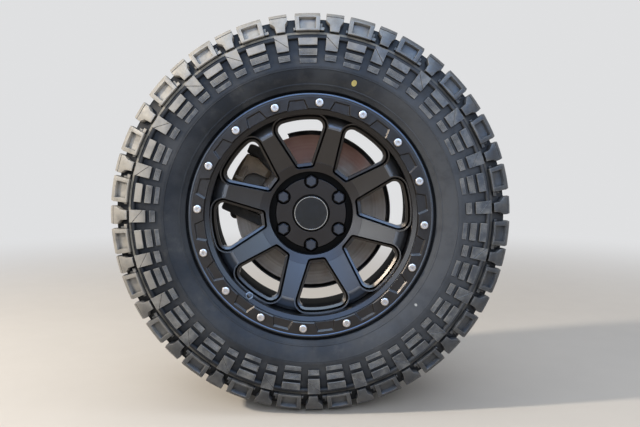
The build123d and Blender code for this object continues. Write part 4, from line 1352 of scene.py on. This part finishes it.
    def narrow_lug(self) -> Mesh:
        """A narrow shoulder lug that tapers down the side, with a step and a slit in its head.

        Returns:
            The lug, flat.
        """
        waist, taper, foot = self.along(0.3965), self.along(0.3885), self.along(0.3735)
        mesh = self.lug([(-0.0184, 0.104), (-0.0095, 0.0925), (0.0125, 0.0925), (0.0184, 0.104),
                         (0.0184, 0.136), (0.0188, waist), (0.0132, taper), (0.0118, foot),
                         (-0.0082, foot), (-0.0096, taper), (-0.0188, waist), (-0.0184, 0.136)])
        sink(mesh, (-0.0300, self.along(0.4058)), (0.0300, self.along(0.4040)), depth=0.0022)
        sink(mesh, (-0.0010, 0.097), (0.0004, 0.116), depth=self.lug_slit)
        soften(mesh, width=0.0010, floor=self.block_foot)
        return mesh

    def nub(self, low: Point, high: Point, height: float) -> Mesh:
        """A small step on the ground between two lugs.

        Args:
            low: its lowest x and y.
            high: its highest x and y.
            height: how far its top stands below the outline, as a negative height.

        Returns:
            The step, flat.
        """
        mesh = block([low, (high[0], low[1]), high, (low[0], high[1])], self.nub_depth)
        bmesh.ops.translate(mesh, verts=mesh.verts[:], vec=(0, 0, height))
        cut(mesh, 1, (low[1] + high[1]) / 2)
        soften(mesh, width=0.0008, floor=height - self.low_edge, segments=1)
        return mesh

    def crown_block(self, outline: Sequence[Point], slit: tuple[Point, Point]) -> Mesh:
        """A block of the tread's middle with one slit in it.

        Args:
            outline: its corners.
            slit: lowest and highest corner of the slit.

        Returns:
            The block, flat.
        """
        mesh = block(outline, self.block_depth)
        cut(mesh, 1, *self.crown_cuts)
        sink(mesh, *slit, depth=self.crown_slit)
        soften(mesh, width=0.0010, floor=self.block_foot)
        return mesh

    def crease(self, mesh: Mesh, middle: Vector) -> None:
        """Cuts a narrow diagonal crease across the top of a block.

        Args:
            mesh: the block.
            middle: a point in the middle of the crease.
        """
        slant = Vector(self.crease_slant).normalized()
        for shift in (-self.crease_half, self.crease_half):
            split(mesh, middle + slant * shift, slant)
        strip = [face for face in top_faces(mesh)
                 if abs((face.calc_center_median() - middle).dot(slant)) < self.crease_half]
        press(mesh, strip, Matrix.Translation((0, 0, -self.crease_depth)))

    def side_block(self, half: float, outer: float, inner: float, height: float,
                   ribs: int = 0, crease: bool = False) -> Mesh:
        """A low block on the sidewall.

        Args:
            half: half its width at the tyre's outer radius.
            outer: its outer radius.
            inner: its inner radius.
            height: how far its top stands off the outline.
            ribs: how many shallow grooves cross it.
            crease: whether a diagonal crease is cut in it.

        Returns:
            The block, flat.
        """
        near, far = self.along(outer), self.along(inner)
        mesh = block([(-half, near), (half, near), (half, far), (-half, far)], self.side_depth)
        for index in range(ribs):
            place = near + (far - near) * (index + 1) / (ribs + 1)
            low = (-half * self.rib_share, place - self.rib_size)
            high = (half * self.rib_share, place + self.rib_size)
            sink(mesh, low, high, depth=self.rib_size)
        if crease:
            self.crease(mesh, Vector((0, (near + far) / 2, 0)))
        for vert in mesh.verts:
            if vert.co.z > -self.side_depth / 2:
                vert.co.z += height
        soften(mesh, width=0.0009, floor=height - self.low_edge, segments=1)
        return mesh

    def repeated(self, name: str, units: Sequence[tuple[Mesh, Sequence[float]]],
                 squeeze: float = 1.0) -> None:
        """Wraps and copies flat units round both sides, as one piece.

        Args:
            name: the piece's name.
            units: each flat unit, freed here, with the clock angles of its copies.
            squeeze: factor on lengths round the circumference.
        """
        whole = bmesh.new()
        for unit, degrees in units:
            flat = as_data("flat", unit)
            for side in Side:
                turned = bmesh.new()
                turned.from_mesh(flat)
                shift = 0.0
                if side is Side.INBOARD:
                    bmesh.ops.scale(turned, vec=(-1, 1, 1), verts=turned.verts[:])
                    shift = self.inboard_shift
                self.wrap(turned, side, squeeze)
                ring = as_data("ring", copied_round(turned, [angle + shift for angle in degrees]))
                whole.from_mesh(ring)
                bpy.data.meshes.remove(ring)
            bpy.data.meshes.remove(flat)
        finished(whole, name, TREAD_RUBBER, Body.WHEEL)

    def dot(self, name: str, degrees: float, radius: float, size: float, finish: Finish) -> None:
        """A paint dot on the street side's wall.

        Args:
            name: the piece's name.
            degrees: its clock angle.
            radius: its distance from the axle.
            size: its width.
            finish: its paint.
        """
        mesh = bmesh.new()
        bmesh.ops.create_circle(mesh, cap_ends=True, cap_tris=False, segments=self.dot_sides, radius=size / 2)
        lifted = added_verts(bmesh.ops.extrude_face_region(mesh, geom=mesh.faces[:]))
        bmesh.ops.translate(mesh, verts=lifted, vec=(0, 0, self.dot_height))
        bmesh.ops.scale(mesh, vec=(self.outer_radius / radius, self.dot_stretch, 1), verts=mesh.verts[:])
        bmesh.ops.translate(mesh, verts=mesh.verts[:], vec=(0, self.along(radius), -self.dot_height / 4))
        self.wrap(mesh, Side.STREET)
        finished(copied_round(mesh, [degrees]), name, finish, Body.WHEEL)

    def groove_steps(self) -> None:
        """Three small steps in the grooves beside each wide lug."""
        top, waist, foot = self.along(0.3935), self.along(0.3855), self.along(0.3765)
        self.repeated("tyre_groove_steps", [
            (self.nub((0.0250, top), (0.0320, waist), -0.0072), self.lug_degrees),
            (self.nub((0.0250, waist + 0.0012), (0.0370, foot), -0.0052), self.lug_degrees),
            (self.nub((-0.0310, waist), (-0.0250, foot - 0.003), -0.0070), self.lug_degrees),
        ])

    def crown_blocks(self) -> None:
        """Two kinds of blocks on each side of the tread's middle."""
        first = [(-0.030, 0.009), (0.008, 0.003), (0.025, 0.026), (0.021, 0.060), (-0.004, 0.072),
                 (-0.019, 0.050)]
        second = [(-0.022, 0.008), (0.015, 0.011), (0.021, 0.042), (0.009, 0.078), (-0.018, 0.069),
                  (-0.012, 0.038)]
        self.repeated("tyre_crown_blocks", [
            (self.crown_block(first, ((-0.0007, 0.022), (0.0007, 0.056))), self.lug_degrees),
            (self.crown_block(second, ((0.0013, 0.020), (0.0027, 0.060))), self.middles()),
        ], squeeze=0.92)

    def side_blocks(self) -> None:
        """Rows of low blocks on the sidewalls, wide ones under the wide lugs."""
        lugs, gaps = self.lug_degrees, self.middles()
        wide, narrow = 0.0225, 0.0149
        self.repeated("tyre_side_blocks", [
            (self.side_block(wide, 0.3600, 0.3447, 0.0), lugs),
            (self.side_block(wide, 0.3375, 0.3245, -0.0003, ribs=4), lugs),
            (self.side_block(wide, 0.3185, 0.3090, -0.0010), lugs),
            (self.side_block(narrow, 0.3680, 0.3346, 0.0003, crease=True), gaps),
            (self.side_block(narrow, 0.3266, 0.3150, -0.0004, ribs=3), gaps),
        ])

    def build(self) -> None:
        """Makes every piece of the tyre."""
        self.carcass()
        lugs = [(self.wide_lug(), self.lug_degrees), (self.narrow_lug(), self.middles())]
        self.repeated("tyre_shoulder_lugs", lugs)
        self.groove_steps()
        self.crown_blocks()
        self.side_blocks()
        self.dot("tyre_balance_dot", degrees=17.7, radius=0.283, size=0.0105, finish=DOT_PAINT)
        self.dot("tyre_pale_dot", degrees=130.0, radius=0.281, size=0.0050, finish=PALE_DOT_PAINT)


# Wheel and brake fittings


@dataclass
class Valve:
    """The cap screwed on the valve stem.

    Attributes:
        clock: clock angle of the stem.
        radius: distance of its foot from the axle.
        y: its foot's place along the axle.
        tilt: how far it leans to the axle, in degrees.
        start: where the cap starts, along the stem.
        length: length of the cap.
        cap_radius: its radius at the ribs.
        taper: how much of its radius is left at its end.
        hollows: how much of the radius is left between the ribs.
        end_rounding: how round its end is.
        ribs: how many ribs it has.
    """

    clock: float = 218.0
    radius: float = 0.2128
    y: float = -0.21028
    tilt: float = 20.0
    start: float = 0.0065
    length: float = 0.0145
    cap_radius: float = 0.0050
    taper: float = 0.94
    hollows: float = 0.93
    end_rounding: float = 0.0014
    ribs: int = 20

    def placed(self, distance: float) -> Matrix:
        """Stands a shape drawn along Z on the stem's axis.

        Args:
            distance: along the axis, out of the wheel.

        Returns:
            The transform.
        """
        angle, lean = math.radians(self.clock), math.radians(self.tilt)
        outwards = Vector((math.sin(angle), 0, math.cos(angle)))
        axis = Vector((0, -1, 0)) * math.cos(lean) - outwards * math.sin(lean)
        place = outwards * self.radius + Vector((0, self.y, 0)) + axis * distance
        return Matrix.Translation(place) @ Vector((0, 0, 1)).rotation_difference(axis).to_matrix().to_4x4()

    def build(self) -> None:
        """A ribbed cap with a rounded end, in line with the stem."""
        mesh = bmesh.new()
        bmesh.ops.create_cone(mesh, cap_ends=True, cap_tris=False, segments=self.ribs * 2, depth=self.length,
                              radius1=self.cap_radius, radius2=self.cap_radius * self.taper)
        for vert in mesh.verts:
            if round(math.atan2(vert.co.y, vert.co.x) / math.tau * self.ribs * 2) % 2:
                vert.co.xy *= self.hollows
        ends = [edge for edge in mesh.edges if all(vert.co.z > 0 for vert in edge.verts)]
        bevel(mesh, ends, self.end_rounding, segments=3)
        bmesh.ops.transform(mesh, matrix=self.placed(self.start + self.length / 2), verts=mesh.verts[:])
        finished(mesh, "valve_cap", VALVE_CAP, Body.WHEEL)


@dataclass
class Wheel:
    """Painted facings on the casting and the clamp ring.

    Attributes:
        lip: front and rear edge of the bevel inside the clamp ring, as (radius, y).
        lip_back: y of its hidden back.
        lip_steps: steps of the facings round the axle.
        edge_roll: the ring's rolled edge, as (radius past the ring's, y behind its front).
        valve_pocket: radius of the round pocket at the valve.
        pocket_length: length of the tool that cuts it.
        pocket_steps: how many sides it has.
        end_profile: the slope of a spoke's end, as (radius, y).
        end_shares: where the rows of points across it stand, in half widths.
        corner_centre: centre of a window's rounded corner, along and across the spoke.
        corner_radius: its radius.
        corner_share: how much of the corner the facing follows.
        into_frame: how far the facing reaches into the window's frame.
        end_back: how thick the facing is.
        end_floor: the y that its back doesn't pass.
    """

    lip: tuple[Point, Point] = ((0.2197, -0.2225), (0.2104, -0.2190))
    lip_back: float = -0.2080
    lip_steps: int = 240
    edge_roll: tuple[Point, ...] = (
        (-0.0046, 0.0002), (-0.0034, -0.0005), (-0.0025, -0.0009), (-0.0010, -0.0006), (0.0003, -0.0001),
        (0.0014, 0.0008), (0.0019, 0.0020), (0.0019, 0.0060), (-0.0046, 0.0060),
    )
    valve_pocket: float = 0.0098
    pocket_length: float = 0.060
    pocket_steps: int = 48
    end_profile: tuple[Point, ...] = (
        (0.1835, -0.1700), (0.1860, -0.1713), (0.1920, -0.1706), (0.1980, -0.1697), (0.2040, -0.1685),
        (0.2090, -0.1668), (0.2135, -0.1630),
    )
    end_shares: tuple[float, ...] = (-1.0, -0.5, 0.0, 0.5, 1.0)
    corner_centre: Point = (0.1833, 0.0399)
    corner_radius: float = 0.0266
    corner_share: float = 0.97
    into_frame: float = 0.0012
    end_back: float = 0.0120
    end_floor: float = -0.160

    def lip_bevel(self) -> None:
        """The ring-shaped bevel between clamp ring and windows, with a round pocket at the valve."""
        (outer, front), (inner, rear) = self.lip
        corners = [(outer, self.lip_back), (outer, front), (inner, rear), (inner, self.lip_back)]
        pocket = bmesh.new()
        bmesh.ops.create_cone(pocket, cap_ends=True, cap_tris=False, segments=self.pocket_steps,
                              radius1=self.valve_pocket, radius2=self.valve_pocket, depth=self.pocket_length)
        bmesh.ops.transform(pocket, matrix=Valve().placed(0.0), verts=pocket.verts[:])
        carved = carve(lathed(corners, self.lip_steps), pocket)
        finished(carved, "wheel_lip_bevel", SHADED_LIP_PAINT, Body.WHEEL)

    def spoke_ends(self) -> None:
        """The spokes' falling outer ends between the windows' frames, in paint lightened as painted light."""
        along, across = self.corner_centre
        mesh = bmesh.new()
        rows = []
        for radius, y in self.end_profile:
            reach = min(max(radius - along, 0.0), self.corner_radius * self.corner_share)
            half = across - math.sqrt(self.corner_radius**2 - reach**2) + self.into_frame
            turn = math.asin(half / radius)
            rows.append([
                mesh.verts.new((radius * math.sin(turn * share), y, radius * math.cos(turn * share)))
                for share in self.end_shares
            ])
        for near, far in zip(rows, rows[1:]):
            for index in range(len(self.end_shares) - 1):
                mesh.faces.new((near[index], near[index + 1], far[index + 1], far[index]))
        thick = bmesh.ops.extrude_face_region(mesh, geom=mesh.faces[:])
        for vert in added_verts(thick):
            vert.co.y = max(vert.co.y + self.end_back, self.end_floor)
        bmesh.ops.recalc_face_normals(mesh, faces=mesh.faces[:])
        clocks = [WINDOW_CLOCK + (index + 0.5) * 360 / SPOKE_COUNT for index in range(SPOKE_COUNT)]
        whole = copied_round(mesh, clocks)
        finished(whole, "wheel_spoke_ends", SPOKE_END_LIT_PAINT, Body.WHEEL)

    def ring_edge(self) -> None:
        """The rolled outer edge of the clamp ring, in paint lightened as a painted highlight."""
        low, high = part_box("clamp_ring")
        mesh = lathed([(high[0] + out, low[1] + y) for out, y in self.edge_roll], self.lip_steps)
        finished(mesh, "clamp_ring_edge", RING_EDGE_HIGHLIGHT_PAINT, Body.WHEEL)

    def build(self) -> None:
        """Makes the facings and the valve's cap."""
        self.ring_edge()
        self.lip_bevel()
        self.spoke_ends()
        Valve().build()


@dataclass
class Brake:
    """Small parts of the brake, drawn in x along the caliper, y outwards and z to the street.

    Attributes:
        caliper_clock: clock angle of the caliper.
        finger_face: how far towards the street the caliper's face is.
        piston_height: distance of the piston from the axle.
        housing_back: how far towards the street the back of its housing is.
        web_depth: how thick the webs are drawn, most of it in the caliper.
        rib: corners of the narrow web.
        rib_proud: how far it stands out of the face.
        shoulder: corners of the wide web.
        shoulder_proud: how far it stands out of the face.
        bleed_place: the bleed screw's place from the piston's middle.
        screw_profile: the screw as (radius, z), from its foot.
        screw_sides: how many sides it has.
        cap_profile: its cap, in the same way.
        cap_sides: how many sides the cap has.
    """

    caliper_clock: float = -65.0
    finger_face: float = 0.0890
    piston_height: float = 0.1425
    housing_back: float = -0.0320
    web_depth: float = 0.011
    rib: tuple[Point, ...] = ((-0.0052, 0.1665), (0.0052, 0.1665), (0.0036, 0.1890), (-0.0036, 0.1890))
    rib_proud: float = 0.0034
    shoulder: tuple[Point, ...] = ((-0.0330, 0.1700), (0.0330, 0.1700), (0.0250, 0.1792), (-0.0250, 0.1792))
    shoulder_proud: float = 0.0014
    bleed_place: Point = (-0.0135, 0.0120)
    screw_profile: tuple[Point, ...] = (
        (0.0, 0.001), (0.0052, 0.001), (0.0052, -0.0070), (0.0030, -0.0078), (0.0, -0.0078),
    )
    screw_sides: int = 6
    cap_profile: tuple[Point, ...] = (
        (0.0, -0.0075), (0.0038, -0.0075), (0.0044, -0.0092), (0.0040, -0.0150), (0.0024, -0.0172),
        (0.0, -0.0176),
    )
    cap_sides: int = 32

    def placed(self, height: float) -> Matrix:
        """Stands a shape drawn with its top at z = 0 on the caliper.

        Args:
            height: how far towards the street its top is.

        Returns:
            The transform.
        """
        angle = math.radians(self.caliper_clock)
        along = Vector((math.cos(angle), 0, -math.sin(angle)))
        out = Vector((math.sin(angle), 0, math.cos(angle)))
        street = Vector((0, -1, 0))
        turn = Matrix((along, out, street)).transposed().to_4x4()
        return Matrix.Translation(street * height) @ turn

    def web(self, name: str, outline: tuple[Point, ...], proud: float, rounding: float) -> None:
        """A raised, softened web on the caliper's face.

        Args:
            name: the piece's name.
            outline: its corners.
            proud: how far it stands out of the face.
            rounding: how round its edges are.
        """
        mesh = block(outline, self.web_depth)
        soften(mesh, rounding, floor=-proud, segments=3)
        bmesh.ops.transform(mesh, matrix=self.placed(self.finger_face + proud), verts=mesh.verts[:])
        bmesh.ops.recalc_face_normals(mesh, faces=mesh.faces[:])
        finished(mesh, name, CALIPER_PLATE, Body.AXLE_END)

    def bleed_part(self, name: str, profile: Sequence[Point], sides: int, finish: Finish) -> None:
        """The bleed screw or its cap, at the back of the piston's housing.

        Args:
            name: the piece's name.
            profile: its outline as (radius, z).
            sides: how many sides it has.
            finish: its finish.
        """
        aside, above = self.bleed_place
        mesh = spun([(radius, 0, z) for radius, z in profile], (0, 0, 1), sides, closed=False)
        bmesh.ops.translate(mesh, verts=mesh.verts[:], vec=(aside, self.piston_height + above, 0))
        bmesh.ops.transform(mesh, matrix=self.placed(self.housing_back), verts=mesh.verts[:])
        finished(mesh, name, finish, Body.AXLE_END)

    def build(self) -> None:
        """Makes the webs on the caliper and its bleed screw."""
        self.web("caliper_rib", self.rib, self.rib_proud, rounding=0.0016)
        self.web("caliper_shoulder", self.shoulder, self.shoulder_proud, rounding=0.0010)
        self.bleed_part("bleed_screw", self.screw_profile, self.screw_sides, BARE_STEEL)
        self.bleed_part("bleed_cap", self.cap_profile, self.cap_sides, BOOT_RUBBER)


# Studio


@dataclass(frozen=True)
class Lamp:
    """A soft rectangular lamp that the camera doesn't see.

    Attributes:
        name: its name.
        place: where it stands.
        size: its width and height.
        power: in watts.
        colour: its colour.
        aim: what it points at.
        mirrored: whether gloss shows it.
        spread: whether it lights dull surfaces.
    """

    name: str
    place: Triple
    size: Point
    power: float
    colour: Colour
    aim: Triple = (0.0, -0.2, 0.0)
    mirrored: bool = True
    spread: bool = True

    def build(self) -> None:
        """Sets the lamp up."""
        data = bpy.data.lights.new(self.name, "AREA")
        data.shape = "RECTANGLE"
        data.size, data.size_y = self.size
        data.energy = self.power
        data.color = self.colour
        lamp = linked(self.name, data)
        lamp.visible_camera = False
        lamp.visible_glossy = self.mirrored
        lamp.visible_diffuse = self.spread
        lamp.location = self.place
        lamp.rotation_euler = (Vector(self.aim) - Vector(self.place)).to_track_quat("-Z", "Y").to_euler()


@dataclass
class Studio:
    """Floor, lamps, world and camera.

    Attributes:
        floor_z: height of the floor.
        floor_size: its width.
        floor_colour: its colour near the object.
        floor_mottle: how much of its colour its darker clouds keep.
        far_colour: what the camera and gloss see round the object.
        fill_colour: the even light from all sides.
        fade: the distances between which the floor fades into the surroundings.
        focal_pixels: focal length of the camera in pixels of the photograph.
        picture_width: width of the photograph in pixels.
        sensor_width: width of the camera's sensor in millimetres.
        camera_place: where the camera stands.
        pitch: how far it looks down, in degrees.
        yaw: how far it looks to the right, in degrees.
        lamps: all the lamps.
    """

    floor_z: float = -0.4165
    floor_size: float = 14.0
    floor_colour: Colour = (0.60, 0.555, 0.50)
    floor_mottle: float = 0.97
    far_colour: Colour = (0.74, 0.745, 0.755)
    fill_colour: Colour = (0.36, 0.365, 0.38)
    fade: Range = (1.0, 3.4)
    focal_pixels: float = 686.0
    picture_width: float = 640.0
    sensor_width: float = 36.0
    camera_place: Triple = (-0.004, -1.632, 0.130)
    pitch: float = 5.0
    yaw: float = 0.9
    lamps: tuple[Lamp, ...] = (
        Lamp("softbox", (0.0, -3.5, 1.6), (4.4, 2.0), 74.0, (0.86, 0.93, 1.0), mirrored=False),
        Lamp("overhead", (0.0, -0.6, 3.4), (4.4, 1.6), 40.0, (0.84, 0.92, 1.0), mirrored=False),
        Lamp("key", (-2.95, -1.05, 1.95), (0.20, 0.20), 120.0, (1.0, 0.91, 0.78), aim=(-0.1, -0.25, 0.15)),
        Lamp("blue_panel", (0.5, -2.83, 2.22), (5.4, 2.7), 262.0, (0.26, 0.50, 1.0), spread=False),
        Lamp("pale_panel", (-1.75, -3.4, 0.35), (0.9, 1.3), 26.0, (0.80, 0.90, 1.0), spread=False),
        Lamp("right_panel", (1.75, -3.4, 0.55), (1.0, 1.1), 22.0, (0.40, 0.64, 1.0), spread=False),
        Lamp("canopy", (0.0, -1.1, 3.3), (4.4, 1.9), 170.0, (0.50, 0.72, 1.0), spread=False),
    )

    def floor(self) -> None:
        """A plain pale floor."""
        mesh = bmesh.new()
        bmesh.ops.create_grid(mesh, x_segments=1, y_segments=1, size=self.floor_size / 2)
        bmesh.ops.translate(mesh, verts=mesh.verts[:], vec=(0, 0, self.floor_z))
        data = as_data("studio_floor", mesh)
        data.materials.append(self.floor_material())
        piece = linked("studio_floor", data)

    def floor_material(self) -> bpy.types.Material:
        """Pale paint that fades, for the camera, into the surroundings far from the object.

        Returns:
            The floor's material.
        """
        clouds = tuple(part * self.floor_mottle for part in self.floor_colour)
        plain = Finish("studio_floor_paint", self.floor_colour, clouds, 3.0, roughness=(0.8, 0.9))
        maker = FinishNodes(plain)
        painted = maker.surface()
        distance = maker.node("VectorMath", operation="LENGTH")
        maker.feed(distance.inputs[0], maker.node("TexCoord").outputs["Object"])
        far = maker.span(distance.outputs["Value"], *self.fade)
        glow = maker.node("Emission")
        maker.feed(glow.inputs["Color"], self.far_colour)
        mixed = maker.node("MixShader")
        maker.feed_all(mixed, {0: maker.product(far, self.seen(maker.tree)), 1: painted, 2: glow.outputs[0]})
        return maker.output(mixed.outputs[0])

    @staticmethod
    def seen(tree: bpy.types.NodeTree) -> Socket:
        """A socket that is 1 for camera, glossy and transmitted rays.

        Args:
            tree: where the nodes are added.

        Returns:
            The socket.
        """
        path = tree.nodes.new("ShaderNodeLightPath")
        total = path.outputs["Is Camera Ray"]
        for name in ("Is Glossy Ray", "Is Transmission Ray"):
            both = tree.nodes.new("ShaderNodeMath")
            both.operation = "MAXIMUM"
            tree.links.new(total, both.inputs[0])
            tree.links.new(path.outputs[name], both.inputs[1])
            total = both.outputs[0]
        return total

    def world(self) -> None:
        """An even pale surrounding."""
        world = bpy.data.worlds.new("studio_world")
        world.use_nodes = True
        tree = world.node_tree
        fill = tree.nodes["Background"]
        fill.inputs[0].default_value = (*self.fill_colour, 1)
        shown = tree.nodes.new("ShaderNodeBackground")
        shown.inputs[0].default_value = (*self.far_colour, 1)
        mixed = tree.nodes.new("ShaderNodeMixShader")
        tree.links.new(self.seen(tree), mixed.inputs[0])
        tree.links.new(fill.outputs[0], mixed.inputs[1])
        tree.links.new(shown.outputs[0], mixed.inputs[2])
        tree.links.new(mixed.outputs[0], tree.nodes["World Output"].inputs["Surface"])
        bpy.context.scene.world = world

    def camera(self) -> None:
        """The camera at the photograph's viewing angle."""
        data = bpy.data.cameras.new("camera")
        data.sensor_width = self.sensor_width
        data.lens = self.focal_pixels / self.picture_width * self.sensor_width
        camera = linked("camera", data)
        camera.location = self.camera_place
        camera.rotation_euler = (math.radians(90 - self.pitch), 0, math.radians(-self.yaw))
        bpy.context.scene.camera = camera

    def build(self) -> None:
        """Sets up everything that isn't the object."""
        self.floor()
        self.world()
        self.camera()
        for lamp in self.lamps:
            lamp.build()
        bpy.context.scene.view_settings.view_transform = "Standard"


def dress_nodes() -> None:
    """Gives every CAD node that shows its finish."""
    for name, finish in NODE_FINISHES.items():
        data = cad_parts[name].data
        data.materials.clear()
        data.materials.append(finish.material())


def main() -> None:
    """Builds the studio, the tyre and the fittings."""
    Studio().build()
    dress_nodes()
    Tyre().build()
    Wheel().build()
    Brake().build()


if __name__ == "__main__":
    main()
